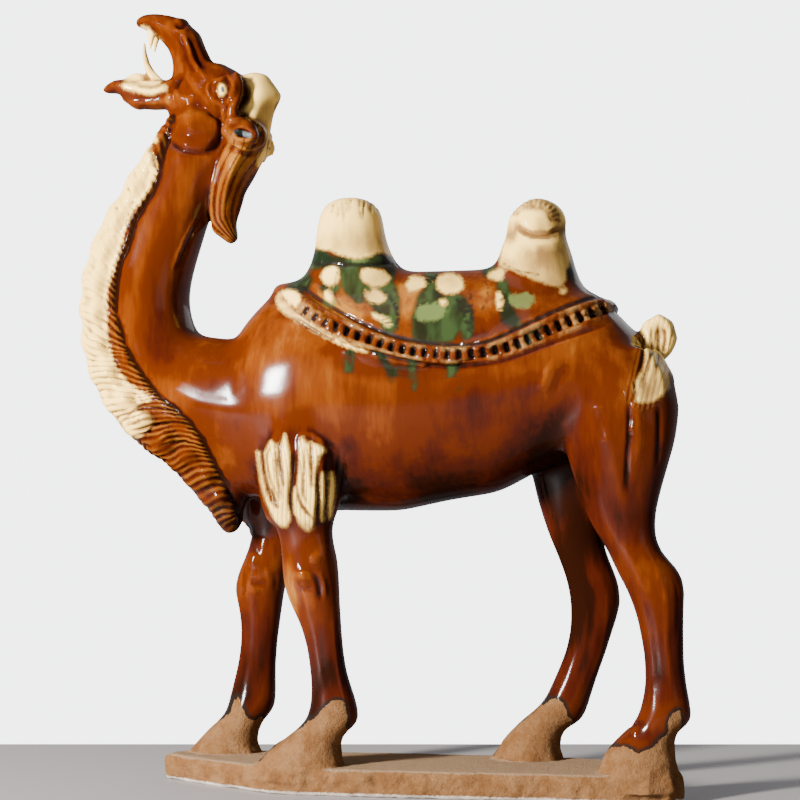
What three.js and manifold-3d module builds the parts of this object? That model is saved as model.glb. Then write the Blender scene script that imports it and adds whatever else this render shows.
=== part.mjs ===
// A glazed pottery camel with two humps, standing on a thin slab with its head thrown back.
// Body, cloth, hair, feet and slab are one fired piece. Millimetres, +Z up, the head to -X.
import * as THREE from 'three';
import { mergeVertices } from 'three/addons/utils/BufferGeometryUtils.js';
import Module from 'manifold-3d';

// Driving sizes
const figureHeight = 533.5; // from the top of the slab to the upper lip
const slabThick = 18;
const slabHalfDepth = 50; // from the middle of the slab to its long edges
const stance = 30; // from the middle plane to the middle of each foot
const slabMargin = 12; // clay left before the toes and behind the heels
const slabChamfer = 2.5;
const clothThick = 4; // how far the saddle cloth stands off the back
const bandTall = 7.5; // half the height of the pleated border of the cloth
const bandProud = 3.6; // how far it stands off the cloth
const bandRoot = 4; // how deep it is bedded under the skin of the body
const clothTuck = 2.5; // how far the edge of the cloth runs on under the border
const pleatPitch = 8.4;
const eyeSize = 4.6;
const toothLength = 15;

// The pose is drawn at this height, with its own zero a little under the top of the slab, so
// that the feet are bedded in the clay.
const drawnHeight = 533.5;
const drawnSink = 3.5;
const unit = figureHeight / drawnHeight;

const wasm = await Module();
wasm.setup();

const glaze = new THREE.MeshStandardMaterial({ color: 0x9a4a16, roughness: 0.18, metalness: 0 });
const yAxis = new THREE.Vector3(0, 1, 0);
const backwards = new THREE.Vector3(1, 0, 0);
const upwards = new THREE.Vector3(0, 0, 1);
const downwards = new THREE.Vector3(0, 0, -1);

// Rounding the unit shapes keeps the two edges of a seam identical, so that they merge.
function tidy(value) {
  return Math.round(value * 1e6) / 1e6;
}

function solid(geometry) {
  geometry.deleteAttribute('normal');
  geometry.deleteAttribute('uv');
  const merged = mergeVertices(geometry);
  return new wasm.Manifold(new wasm.Mesh({
    numProp: 3,
    vertProperties: new Float32Array(merged.attributes.position.array),
    triVerts: new Uint32Array(merged.index.array),
  }));
}

// A row of a table is [x, y, z, deep, wide]: the middle of a section, half its size in the
// plane of the spine and half its size across it. Both run smoothly from row to row.
function spineOf(rows) {
  const smooth = (points) => new THREE.CatmullRomCurve3(points, false, 'catmullrom', 0.5);
  const middle = smooth(rows.map(([x, y, z]) => new THREE.Vector3(x, y, z - drawnSink)));
  const girth = smooth(rows.map((row) => new THREE.Vector3(row[3], row[4], 0)));
  return { middle, girth };
}

// The section at t: its middle, its two axes and its two half sizes. Sections stand square to
// the spine unless an axis is given.
function sectionAt(spine, t, across = yAxis, axis = null) {
  const along = axis ?? spine.middle.getTangent(t);
  const side = across.clone().addScaledVector(along, -across.dot(along)).normalize();
  const up = along.clone().cross(side);
  const size = spine.girth.getPoint(t);
  return { middle: spine.middle.getPoint(t), side, up, deep: size.x, wide: size.y };
}

function onSkin(section, angle, lift = 0) {
  return section.middle.clone()
    .addScaledVector(section.up, (section.deep + lift) * Math.cos(angle))
    .addScaledVector(section.side, (section.wide + lift) * Math.sin(angle));
}

// A closed skin along a table. relief(t, angle) swells it, slant(t, angle) slides it along the
// spine, egg narrows its back, and grow is added to both half sizes.
function limb(rows, sides, perRow, options = {}) {
  const { relief = () => 1, slant = () => 0, across = () => yAxis } = options;
  const { egg = 0, grow = 0, axis = null, start = Math.PI / 2 } = options;
  const spine = spineOf(rows);
  const rings = options.rings ?? Math.round((rows.length - 1) * perRow);
  const skin = new THREE.CylinderGeometry(1, 1, 1, sides, rings, false, start);
  const place = skin.attributes.position;
  for (let i = 0; i < place.count; i += 1) {
    const x = tidy(place.getX(i));
    const z = tidy(place.getZ(i));
    const level = tidy(place.getY(i) + 0.5);
    const angle = Math.atan2(z, x);
    const radius = Math.hypot(x, z) < 0.5 ? 0 : relief(level, angle);
    const t = THREE.MathUtils.clamp(level + slant(level, angle), 0, 1);
    const section = sectionAt(spine, t, across(t), axis);
    const point = section.middle
      .addScaledVector(section.up, (section.deep + grow) * radius * x)
      .addScaledVector(section.side, (section.wide + grow) * radius * z * (1 + egg * x));
    place.setXYZ(i, point.x * unit, point.y * unit, point.z * unit);
  }
  return solid(skin);
}

// An ellipsoid at a place, with its half sizes, tipped about the Y axis.
function lump([x, y, z], [rx, ry, rz], tip = 0, across = 10, down = 7) {
  const ball = new THREE.SphereGeometry(1, across, down);
  const place = ball.attributes.position;
  for (let i = 0; i < place.count; i += 1) {
    place.setXYZ(i, tidy(place.getX(i)), tidy(place.getY(i)), tidy(place.getZ(i)));
  }
  ball.rotateX(Math.PI / 2);
  ball.scale(rx, ry, rz).rotateY(tip).translate(x, y, z - drawnSink);
  ball.scale(unit, unit, unit);
  return solid(ball);
}

function joined(parts) {
  return parts.reduce((whole, piece) => whole.add(piece));
}

// The outer shell alone, so that no pocket stays sealed between pieces that cross
function filled(form) {
  return form.decompose().reduce((most, shell) => (shell.volume() > most.volume() ? shell : most));
}

// Every other edge of the section stands out, which reads as locks of hair lying side by side.
function locks(sides, depth, ends = 0.15) {
  return (t, angle) => {
    const fade = Math.min(1, t / ends, (1 - t) / ends);
    return 1 + depth * fade * Math.cos(angle * sides / 2);
  };
}

// Barrel of the body from the chest to the rump
const trunkRows = [
  [-118, 0, 241, 40, 28],
  [-100, 0, 250.5, 62, 43],
  [-75, 0, 256, 78, 53],
  [-40, 0, 259, 82, 57],
  [0, 0, 258, 83.3, 58],
  [40, 0, 261.5, 79, 57],
  [80, 0, 265.5, 76, 56],
  [115, 0, 270, 62.5, 56],
  [145, 0, 271, 53, 53],
  [168, 0, 267, 38, 46],
  [186, 0, 261, 22, 34],
  [196, 0, 258, 8, 13],
];

const trunkSides = 20;
const trunkRings = 1.2; // for each row of the table

function trunk(grow = 0) {
  return limb(trunkRows, trunkSides, trunkRings, { grow, axis: backwards });
}

// The neck leaves the chest forwards, turns up and bends back under the jaw
const neckRows = [
  [-66, 0, 250, 66, 50],
  [-106, 0, 245, 60, 45],
  [-136, 0, 257, 47, 40],
  [-158, 0, 268, 42, 36],
  [-173, 0, 286, 39, 34],
  [-182, 0, 319, 37, 32],
  [-179, 0, 348, 36, 30],
  [-170, 0, 376, 35, 28],
  [-160, 0, 396, 32, 26],
  [-148, 0, 420, 29, 24],
  [-139, 0, 440, 26, 23],
  [-130, 0, 458, 24, 21],
];

function neck() {
  return limb(neckRows, 12, 1.3, { egg: -0.12 });
}

// The ruff of hair down the front of the neck, in chevrons, to the tip under the chest
const ruffRows = [
  [-155.3, 0, 463, 6, 8],
  [-158, 0, 450, 7.4, 14],
  [-168.5, 0, 427, 10.8, 20],
  [-182.5, 0, 400, 13.5, 24],
  [-197, 0, 370, 16, 27],
  [-204.5, 0, 340, 18.5, 29],
  [-205.5, 0, 312, 18, 30],
  [-200, 0, 285, 19.5, 31],
  [-185.5, 0, 259, 20.5, 32],
  [-166.5, 0, 239.5, 20.5, 32],
  [-145, 0, 224, 20, 31],
  [-127.5, 0, 205.5, 20, 27],
  [-115.5, 0, 182, 15, 18],
  [-114, 0, 160, 3.2, 4],
];

function ruff() {
  const tufts = 17;
  const notch = 0.08;
  const sweep = 0.04; // how far the sides of a chevron lag, as a share of the whole length
  const flank = (angle) => Math.abs(Math.sin(angle));
  return limb(ruffRows, 8, 3, {
    rings: tufts * 2,
    relief: (t, angle) => 1 + notch * Math.cos(Math.PI * 2 * t * tufts) * (0.2 + flank(angle)),
    slant: (t, angle) => sweep * flank(angle) * Math.min(1, 6 * t, 6 * (1 - t)),
  });
}

// Skull and muzzle, from the poll to the upper lip
const skullRows = [
  [-99, 0, 452, 16, 17],
  [-112, 0, 466, 21, 22],
  [-127.5, 0, 477.5, 22, 22],
  [-141.2, 0, 490.3, 16.8, 18],
  [-145.2, 0, 503, 13.4, 15],
  [-149.7, 0, 515.5, 12.6, 14],
  [-158.5, 0, 523, 11.2, 13.5],
  [-168, 0, 528, 8.2, 12],
  [-178, 0, 530.5, 6, 9.5],
  [-185.5, 0, 530.5, 2.4, 5],
];

const jawRows = [
  [-138, 0, 468, 17, 17],
  [-152, 0, 475, 15.2, 15],
  [-165, 0, 477, 10.2, 13],
  [-178, 0, 477.3, 11.9, 11.5],
  [-188, 0, 480, 9.5, 10],
  [-198, 0, 484.3, 5.9, 8.5],
  [-206, 0, 483, 3.8, 6],
  [-211, 0, 481.5, 1.2, 3],
];

// The hair that stands on the crown and hangs down the back of the neck
const crestRows = [
  [-106, 0, 486, 6, 8],
  [-98, 0, 480.5, 13.5, 12],
  [-96, 0, 470, 19, 16],
  [-98, 0, 462, 12.6, 18],
  [-99.5, 0, 445, 14, 22],
  [-106.5, 0, 428, 14.2, 25],
  [-114.5, 0, 412, 12.3, 23],
  [-118.5, 0, 395, 10.8, 17],
  [-119.8, 0, 381, 10, 11],
  [-112, 0, 368.5, 3.5, 4],
];

const tongueRows = [
  [-164.5, 0, 481, 5.4, 6],
  [-171.5, 0, 488.5, 4.2, 6],
  [-177, 0, 497, 2.8, 5],
  [-179.5, 0, 506, 2, 3.4],
  [-180.3, 0, 516.5, 0.9, 1.4],
];

function eye(side) {
  const at = [-116, side * 20.5, 473];
  const lids = new THREE.TorusGeometry(eyeSize * 1.35, eyeSize * 0.42, 3, 7);
  lids.scale(1.25, 0.9, 1).rotateX(Math.PI / 2).rotateY(1.15);
  lids.translate(at[0], at[1] + side * 0.5, at[2] - drawnSink).scale(unit, unit, unit);
  return solid(lids).add(lump(at, [eyeSize * 1.4, eyeSize * 1.1, eyeSize * 1.15], 0.4, 6, 4));
}

// The ear lies back along the head and opens to the side
function ear(side) {
  const rim = lump([-100, side * 23, 442], [13, 9, 8.5], 0.35, 8, 5);
  const hollow = lump([-100, side * 32, 442], [8, 6, 4], 0.35, 5, 4);
  const root = limb([
    [-106, side * 17, 486, 4, 6],
    [-107, side * 21, 467, 5.6, 8],
    [-104, side * 22, 448, 5, 8],
  ], 5, 1);
  return rim.add(root).subtract(hollow);
}

function tooth(side) {
  const root = 524;
  return limb([
    [-172.5, side * 5, root, 4.4, 3],
    [-173.5, side * 5, root - toothLength * 0.5, 2.5, 2.2],
    [-174, side * 5, root - toothLength, 0.8, 0.8],
  ], 5, 1);
}

function head() {
  const nostril = (side) => lump([-148, side * 13.5, 524], [5, 2.4, 1.6], 0.5, 5, 4);
  const upper = limb(skullRows, 10, 1.2, { egg: -0.1 });
  const lower = limb(jawRows, 8, 1.15, { egg: 0.1 });
  const cheek = lump([-137, 0, 450], [18, 25, 18], 0, 9, 6);
  const brow = (side) => lump([-114, side * 17, 474], [12, 6, 4.5], -0.9, 6, 4);
  const whole = joined([
    upper, lower, cheek,
    limb(crestRows, 10, 1.1, { relief: locks(10, 0.07) }),
    limb(tongueRows, 5, 1.3),
    lump([-185.5, 0, 488.6], [9.5, 7, 5.3], 0, 6, 4),
    brow(-1), brow(1), eye(-1), eye(1), tooth(-1), tooth(1),
  ]);
  return whole.subtract(nostril(-1)).subtract(nostril(1)).add(ear(-1)).add(ear(1));
}

// Humps: plain cones below, with hair combed to the top
const frontHumpRows = [
  [-21, 0, 330, 43, 40],
  [-24, 0, 349, 33, 33],
  [-26, 0, 361, 26.5, 27],
  [-27, 0, 375, 24.5, 24.5],
  [-27, 0, 386, 22, 22],
  [-27, 0, 393, 17, 17],
  [-27, 0, 397, 8, 9],
];

const rearHumpRows = [
  [103, 0, 328, 36, 36],
  [103.5, 0, 347, 28.3, 29],
  [104, 0, 361, 23.5, 25],
  [104.5, 0, 369, 20, 21.5],
  [105, 0, 374, 21.5, 23],
  [106, 0, 383, 19, 21],
  [106, 0, 389.5, 12, 13],
  [105, 0, 393, 5, 6],
];

function humps() {
  const combed = (t, angle) => 1 + (t > 0.7 ? 0.035 : 0) * Math.cos(angle * 6);
  return limb(frontHumpRows, 12, 1.2, { relief: combed, axis: upwards })
    .add(limb(rearHumpRows, 12, 1.2, { relief: combed, axis: upwards }));
}

// The border of the cloth, as an oval on the skin of the trunk: how far along, how far round
const borderMiddle = 39;
const borderReach = 118;
const borderDrop = THREE.MathUtils.degToRad(77);

function borderPoint(turn, side, lift) {
  const spine = spineOf(trunkRows);
  const x = borderMiddle - borderReach * Math.cos(turn);
  let low = 0;
  let high = 1;
  for (let i = 0; i < 24; i += 1) {
    const half = (low + high) / 2;
    if (spine.middle.getPoint(half).x < x) low = half;
    else high = half;
  }
  const fullness = 1.08 + 0.22 * Math.cos(turn); // the rear half hangs fuller than the front
  const round = side * borderDrop * Math.max(0, Math.sin(turn)) ** fullness;
  return onSkin(sectionAt(spine, low, yAxis, backwards), round, lift);
}

// The cloth is the skin of the trunk swollen by its own thickness and cut along the border
function cloth() {
  const steps = 20;
  const outline = new THREE.Shape();
  for (let i = 0; i <= steps; i += 1) {
    const point = borderPoint(Math.PI * i / steps, -1, clothThick);
    if (i === 0) outline.moveTo(point.x, point.z + clothThick);
    outline.lineTo(point.x, point.z - clothTuck);
  }
  const above = 400;
  outline.lineTo(borderMiddle + borderReach, above);
  outline.lineTo(borderMiddle - borderReach, above);
  const cut = new THREE.ExtrudeGeometry(outline, { depth: 2 * above, bevelEnabled: false });
  cut.rotateX(Math.PI / 2).translate(0, above, 0).scale(unit, unit, unit);
  return trunk(clothThick).intersect(solid(cut));
}

// The gathered border: a flat roll that swells at every pleat
function border(side) {
  const steps = 26;
  const swell = 0.14;
  const rows = [];
  const normals = [];
  let length = 0;
  let last;
  for (let i = 0; i <= steps; i += 1) {
    const turn = Math.PI * i / steps;
    const foot = borderPoint(turn, side, 0);
    const ends = 0.6 + 0.4 * Math.sqrt(Math.abs(Math.sin(turn)));
    const out = (bandProud + clothThick) * ends;
    const thick = (out + bandRoot) / 2;
    const point = borderPoint(turn, side, out - thick);
    rows.push([point.x, point.y, point.z + drawnSink, bandTall * ends, thick]);
    normals.push(point.clone().sub(foot).normalize());
    if (i > 0) length += point.distanceTo(last);
    last = point;
  }
  const outward = new THREE.CatmullRomCurve3(normals, false, 'catmullrom', 0.5);
  const pleats = Math.round(length / pleatPitch);
  return limb(rows, 4, 1, {
    rings: pleats * 2,
    start: 0,
    across: (t) => outward.getPoint(t),
    relief: (t) => 1 + swell * Math.cos(Math.PI * 2 * pleats * t),
  });
}

// Legs, from inside the body to inside the foot; side is -1 for the left leg and 1 for the right
function leg(rows, side) {
  const placed = rows.map(([x, y, z, deep, wide]) => [x, y * side, z, deep, wide]);
  return limb(placed, 10, 1.2, { axis: downwards });
}

const leftForeRows = [
  [-58, 28, 278, 34, 24],
  [-54, 32, 240, 32, 24],
  [-52, 34, 211, 27, 21],
  [-53, 34, 180, 21.5, 17],
  [-51, 34, 157, 19.5, 16],
  [-48, 33, 143, 20, 16.5],
  [-47, 33, 122, 20, 15.5],
  [-42, 33, 105, 16, 12.5],
  [-37.8, 33, 85, 13.4, 11],
  [-34.8, 33, 65, 13.6, 11],
  [-31.6, 33, 50, 15.8, 12.5],
  [-31.5, 33, 37, 18.5, 14.5],
  [-32, 33, 30, 16.5, 13],
  [-33, 33, 26, 10, 10],
];

const rightForeRows = [
  [-68, 28, 262, 34, 24],
  [-78, 31, 226, 28, 22],
  [-87.5, 33, 190, 19, 17],
  [-88.5, 33, 160, 17, 15.5],
  [-95.5, 33, 138, 18.5, 16.5],
  [-100.5, 33, 122, 19.5, 16],
  [-99.5, 33, 104, 16, 13],
  [-100.5, 33, 82, 14, 11.5],
  [-102.5, 33, 64, 15, 11.5],
  [-104.5, 33, 48, 17, 13],
  [-106, 33, 37, 18.5, 14],
  [-108, 33, 30, 16.5, 13],
  [-109, 33, 25, 10, 10],
];

const leftHindRows = [
  [149, 20, 285, 41, 30],
  [158, 25, 262, 43.5, 30],
  [161.5, 29, 236, 42.5, 27],
  [162, 31, 206, 34, 22],
  [163, 32, 177, 25, 17],
  [167.5, 33, 160, 20, 15],
  [173.5, 33, 148, 18.5, 14],
  [181, 33, 137, 22.3, 14],
  [185.8, 33, 126, 20.3, 13.5],
  [189, 33, 106, 16.2, 11.5],
  [191.5, 33, 78, 13.7, 10.8],
  [192.5, 33, 58, 14.8, 11.5],
  [191.5, 33, 41, 19, 13.5],
  [190.5, 33, 36, 18, 14],
  [186, 33, 31, 13, 11],
];

const rightHindRows = [
  [140, 20, 290, 34, 30],
  [148, 25, 262, 42, 30],
  [146, 29, 236, 41, 27],
  [135, 31, 210, 40, 23],
  [129.5, 32, 184, 29, 19],
  [128, 33, 158, 19, 15.5],
  [136, 33, 138, 18.5, 14.5],
  [142, 33, 118, 19, 14],
  [140, 33, 98, 16.2, 12.5],
  [134.5, 33, 77, 15, 11.5],
  [126, 33, 56, 15.8, 12],
  [119, 33, 38, 17, 14],
  [116, 33, 30, 16.5, 13],
  [114, 33, 25, 10, 10],
];

// Long hair round the top of each foreleg, hanging in pointed locks
const foreHair = [
  [0, 0, 240, 18, 12],
  [0, 0, 229, 30, 22],
  [-1, 0, 210, 32.5, 25.5],
  [-2, 0, 190, 29.5, 24],
  [-2.5, 0, 173, 25, 20],
  [0, 0, 161, 16, 14],
];

function legHair(x, lean, y) {
  const rows = foreHair.map(([dx, dy, z, deep, wide]) => [
    x + dx + lean * (240 - z), y, z, deep, wide,
  ]);
  return limb(rows, 12, 1.2, { relief: locks(12, 0.07, 0.2), axis: downwards });
}

// Bones and dewclaws that show through the skin of the joints
function joints() {
  return joined([
    lump([-52, -46, 136], [7, 5, 8], 0.2, 6, 4),
    lump([-37, -46, 148], [4.5, 4, 6], 0.2, 6, 4),
    lump([-103, 21, 130], [7, 5, 8], 0.2, 6, 4),
  ]);
}

// Bare clay feet, wider than the glazed legs and drawn forwards to the toes
function foot(rows, y) {
  const placed = rows.map(([x, z, deep, wide]) => [x, y, z, deep, wide]);
  return limb(placed, 9, 1, { axis: downwards });
}

const footRows = {
  leftFore: [
    [-36, 46, 10, 10], [-39, 34, 13, 15], [-44.5, 24, 18.5, 18],
    [-52, 14, 26, 20], [-56, 4, 32, 22], [-57, -6, 34, 23],
  ],
  rightFore: [
    [-106, 44, 9, 10], [-108, 34, 13, 14], [-115.5, 24, 17.5, 17],
    [-122, 14, 21.5, 19], [-125, 4, 26.5, 21], [-126, -6, 28, 22],
  ],
  leftHind: [
    [183, 38, 12, 11], [180, 28, 19, 16], [175, 18, 24, 19],
    [173.5, 11, 26, 21], [174, 4, 28, 22], [175, -8, 29, 24],
  ],
  rightHind: [
    [113, 42, 10, 11], [108, 34, 14, 14], [103, 27, 17.5, 17],
    [97.5, 18, 20.5, 19], [93.5, 8, 24.5, 21], [92, -6, 26, 22],
  ],
};

// The tail is turned up over the rump, with its tuft folded back over the top
function tail() {
  const stem = limb([
    [168, -11, 246, 3, 3],
    [175, -11, 254, 11, 7],
    [181, -10, 264, 13, 9],
    [182, -9, 275, 9, 8],
    [182, -9, 285, 7.5, 7],
    [182, -8, 297, 7, 8],
    [185, -8, 304, 6, 7],
  ], 8, 1.2, { relief: locks(8, 0.05) });
  const fold = limb([
    [180, -9, 293, 5, 5],
    [185, -8, 303, 6.5, 8],
    [190.5, -7, 304.5, 6.5, 9],
    [195, -5, 298, 7.2, 9],
    [192.5, -5, 289, 7.5, 8],
    [188, -5, 280, 5, 6],
  ], 6, 1.2);
  return stem.add(fold);
}

// The slab follows the stagger of the feet, and its outline wanders a little
function slab() {
  const fore = footRows.rightFore[5];
  const near = footRows.leftFore[5];
  const hind = footRows.leftHind[5];
  const far = footRows.rightHind[5];
  const depth = slabHalfDepth;
  const margin = slabMargin;
  const corners = [
    [fore[0] - fore[2] - margin + 5, depth - 22],
    [fore[0] - fore[2] - margin + 5, depth - 45],
    [near[0] - near[2] - margin, -depth * 0.55],
    [near[0] - near[2] + margin, -depth + 5],
    [near[0], -depth],
    [(near[0] + hind[0]) / 2 - 20, -depth - 1],
    [(near[0] + hind[0]) / 2 + 30, -depth + 1.5],
    [hind[0] - 12, -depth],
    [hind[0] + hind[2] - 5, -depth + 7],
    [hind[0] + hind[2] - 3, -depth * 0.4],
    [far[0] + far[2] + margin * 2.5, depth - 16],
    [far[0] + far[2], depth - 7],
    [(fore[0] + far[0]) / 2, depth - 5],
    [fore[0] - 4, depth - 8],
  ].map(([x, y]) => new THREE.Vector3(x * unit, y, 0));
  const rim = new THREE.CatmullRomCurve3(corners, true, 'catmullrom', 0.35);
  const outline = new THREE.Shape(rim.getPoints(corners.length + 4).slice(0, -1)
    .map((point) => new THREE.Vector2(point.x, point.y)));
  const plate = new THREE.ExtrudeGeometry(outline, {
    depth: slabThick - 2 * slabChamfer,
    bevelThickness: slabChamfer,
    bevelSize: slabChamfer,
    bevelOffset: -slabChamfer,
    bevelSegments: 1,
  });
  return solid(plate.translate(0, 0, slabChamfer - slabThick));
}

function camel() {
  const whole = joined([
    trunk(), neck(), ruff(), head(), cloth(), humps(), border(-1), border(1), tail(),
    leg(leftForeRows, -1), leg(rightForeRows, 1), leg(leftHindRows, -1), leg(rightHindRows, 1),
    legHair(-52, 0, -34), legHair(-76, -0.16, 33), joints(),
    foot(footRows.leftFore, -stance), foot(footRows.rightFore, stance),
    foot(footRows.leftHind, -stance), foot(footRows.rightHind, stance),
    slab(),
  ]);
  const below = new THREE.BoxGeometry(2000, 2000, 200).translate(0, 0, -100 - slabThick);
  return filled(whole.subtract(solid(below)));
}

// The origin is under the middle of the figure's box, on the surface it stands on
function meshOf(form) {
  const { numProp, vertProperties, triVerts } = form.getMesh();
  const geometry = new THREE.BufferGeometry();
  const points = new Float32Array(vertProperties.length / numProp * 3);
  for (let i = 0; i < points.length / 3; i += 1) {
    points.set(vertProperties.subarray(i * numProp, i * numProp + 3), i * 3);
  }
  geometry.setAttribute('position', new THREE.BufferAttribute(points, 3));
  geometry.setIndex(new THREE.BufferAttribute(new Uint32Array(triVerts), 1));
  geometry.computeBoundingBox();
  const middle = geometry.boundingBox.getCenter(new THREE.Vector3());
  geometry.translate(-middle.x, -middle.y, slabThick);
  geometry.computeVertexNormals();
  const mesh = new THREE.Mesh(geometry, glaze);
  mesh.name = 'sancai_camel';
  return mesh;
}

const figure = new THREE.Group();
figure.add(meshOf(camel()));

export default figure;
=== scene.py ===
import math

import bmesh
import bpy
import numpy as np
from mathutils import Matrix, Vector


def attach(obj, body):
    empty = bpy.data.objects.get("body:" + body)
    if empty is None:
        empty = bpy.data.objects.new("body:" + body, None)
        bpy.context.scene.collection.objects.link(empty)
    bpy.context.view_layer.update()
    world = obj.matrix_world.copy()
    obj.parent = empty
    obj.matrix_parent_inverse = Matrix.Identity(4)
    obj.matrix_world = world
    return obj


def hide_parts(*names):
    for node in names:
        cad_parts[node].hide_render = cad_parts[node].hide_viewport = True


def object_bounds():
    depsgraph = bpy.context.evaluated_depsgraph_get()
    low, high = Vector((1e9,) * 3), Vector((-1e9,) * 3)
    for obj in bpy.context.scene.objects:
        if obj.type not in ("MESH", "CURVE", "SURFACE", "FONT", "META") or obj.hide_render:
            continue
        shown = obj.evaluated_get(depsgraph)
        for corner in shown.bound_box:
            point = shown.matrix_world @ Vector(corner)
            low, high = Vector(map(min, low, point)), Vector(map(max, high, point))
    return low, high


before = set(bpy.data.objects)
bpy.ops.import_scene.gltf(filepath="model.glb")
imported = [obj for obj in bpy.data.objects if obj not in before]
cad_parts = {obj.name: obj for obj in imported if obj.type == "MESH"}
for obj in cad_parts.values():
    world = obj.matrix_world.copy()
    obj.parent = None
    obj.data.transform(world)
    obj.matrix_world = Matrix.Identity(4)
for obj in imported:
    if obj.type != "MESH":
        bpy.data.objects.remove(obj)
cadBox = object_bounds()
print("frame loaded")

# The camera stands where the photograph's did. Places on the figure are given as pixels of that
# 800 by 800 picture, and lengths off the surface in millimetres.
view = {
    "place": (240.84, -1278.81, 191.55),
    "turn": 10.0,
    "lift": 3.39,
    "focal": 1857.0,
    "picture": 800,  # its width and height in pixels
    "sensor": 36.0,
    # below these heights the fore and hind legs keep their own places on the picture
    "legTops": (165.0, 175.0),
}
outside = -30.0  # the depth of a place that a region leaves out

turn, lift = math.radians(view["turn"]), math.radians(view["lift"])
levelAxis = np.array([-math.sin(turn), math.cos(turn), 0.0])
rightAxis = np.array([math.cos(turn), math.sin(turn), 0.0])
riseAxis = np.array([0.0, 0.0, 1.0])
aimAxis = levelAxis * math.cos(lift) + riseAxis * math.sin(lift)
upAxis = riseAxis * math.cos(lift) - levelAxis * math.sin(lift)


def pixels(points):
    offset = points - np.array(view["place"])
    half = view["picture"] / 2
    scale = view["focal"] / (offset @ aimAxis)
    return half + scale * (offset @ rightAxis), half - scale * (offset @ upAxis)


# Hidden far sides repeat the near side; the legs keep their own places
def picturePlace(points):
    facing = points.copy()
    facing[:, 1] = -np.abs(facing[:, 1])
    u, v = pixels(facing)
    trueU, trueV = pixels(points)
    own = points[:, 2] < np.where(points[:, 0] < 0, *view["legTops"])
    return np.where(own, trueU, u), np.where(own, trueV, v)


def curve(points, steps=5, closed=False):
    dots = [np.array(p, float) for p in points]
    if len(dots) < 3:
        return [tuple(p) for p in dots]
    count = len(dots)
    out = []
    for i in range(count if closed else count - 1):
        if closed:
            a, b, c, d = (dots[(i + k - 1) % count] for k in range(4))
        else:
            b, c = dots[i], dots[i + 1]
            a = dots[i - 1] if i else 2 * b - c
            d = dots[i + 2] if i + 2 < count else 2 * c - b
        for k in range(steps):
            t = k / steps
            out.append(tuple(0.5 * (2 * b + (c - a) * t + (2 * a - 5 * b + 4 * c - d) * t ** 2
                                    + (3 * b - a - 3 * c + d) * t ** 3)))
    out.append(out[0] if closed else tuple(dots[-1]))
    return out


# Distance to a line, how far along it the nearest point is, and the line's length
def beside(u, v, line):
    gap = np.full(u.shape, 1e9)
    run = np.zeros(u.shape)
    start = 0.0
    for (ax, ay), (bx, by) in zip(line[:-1], line[1:]):
        dx, dy = bx - ax, by - ay
        length = math.hypot(dx, dy)
        if length < 1e-6:
            continue
        t = np.clip(((u - ax) * dx + (v - ay) * dy) / length ** 2, 0, 1)
        reach = np.hypot(u - ax - t * dx, v - ay - t * dy)
        near = reach < gap
        gap = np.where(near, reach, gap)
        run = np.where(near, start + t * length, run)
        start += length
    return gap, run, start


def inside(u, v, outline):
    odd = np.zeros(u.shape, bool)
    for (ax, ay), (bx, by) in zip(outline[:-1], outline[1:]):
        crosses = (ay > v) != (by > v)
        if ay != by:
            odd ^= crosses & (u < (bx - ax) * (v - ay) / (by - ay) + ax)
    return odd


# Which places lie in the box around a line, widened by the reach
def nearby(u, v, line, reach):
    (left, top), (right, bottom) = np.min(line, axis=0) - reach, np.max(line, axis=0) + reach
    return np.flatnonzero((u > left) & (u < right) & (v > top) & (v < bottom))


# Signed distance into a closed outline, in pixels; far from it the distance is not worked out
def depthIn(u, v, points, steps=4, reach=34.0):
    outline = curve(points, steps, True)
    some = nearby(u, v, outline, reach)
    out = np.full(len(u), -reach)
    if len(some):
        gap = beside(u[some], v[some], outline)[0]
        out[some] = np.where(inside(u[some], v[some], outline), gap, -gap)
    return out


def deepest(u, v, outlines):
    return np.maximum.reduce([depthIn(u, v, outline) for outline in outlines])


def smoothStep(low, high, value):
    t = np.clip((value - low) / (high - low), 0, 1)
    return t * t * (3 - 2 * t)


# Smooth noise from a few waves in fixed directions, between about -1 and 1
def waves(points, size, seed, count=7):
    dice = np.random.default_rng(seed)
    total = np.zeros(len(points))
    for _ in range(count):
        way = dice.normal(size=3)
        way *= 2 * math.pi / size / np.linalg.norm(way) * dice.uniform(0.6, 1.5)
        total += np.sin(points @ way + dice.uniform(0, 2 * math.pi))
    return total / math.sqrt(count)


# Rough noise from hashed cells, between -1 and 1; the large numbers only scatter the cells
def grain(points, size, seed):
    scaled = points / size
    cell = np.floor(scaled).astype(np.int64)
    part = scaled - cell
    part = part * part * (3 - 2 * part)
    total = np.zeros(len(points))
    for corner in range(8):
        step = np.array([corner & 1, corner >> 1 & 1, corner >> 2 & 1])
        key = cell + step
        hashed = key[:, 0] * 73856093 ^ key[:, 1] * 19349663 ^ key[:, 2] * 83492791 ^ seed * 2654435
        hashed = (hashed ^ hashed >> 13) * 1274126177 & 0x7FFFFFFF
        value = (hashed % 65536) / 32768.0 - 1
        total += value * np.prod(np.where(step, part, 1 - part), axis=1)
    return total


# The slab and the bare clay
slab = {
    "edge": (18, 22),  # the height where the slab gives way to the feet
    # clay grain: size, seed and share
    "grains": [(3.0, 21, 0.5), (6.5, 22, 0.75), (14.0, 23, 0.7)],
    "rough": 0.55,
    "rimRough": 0.85,
    "topRough": -0.32,
    "fade": (17, 60),
    "height": 20.5,
}

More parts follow.
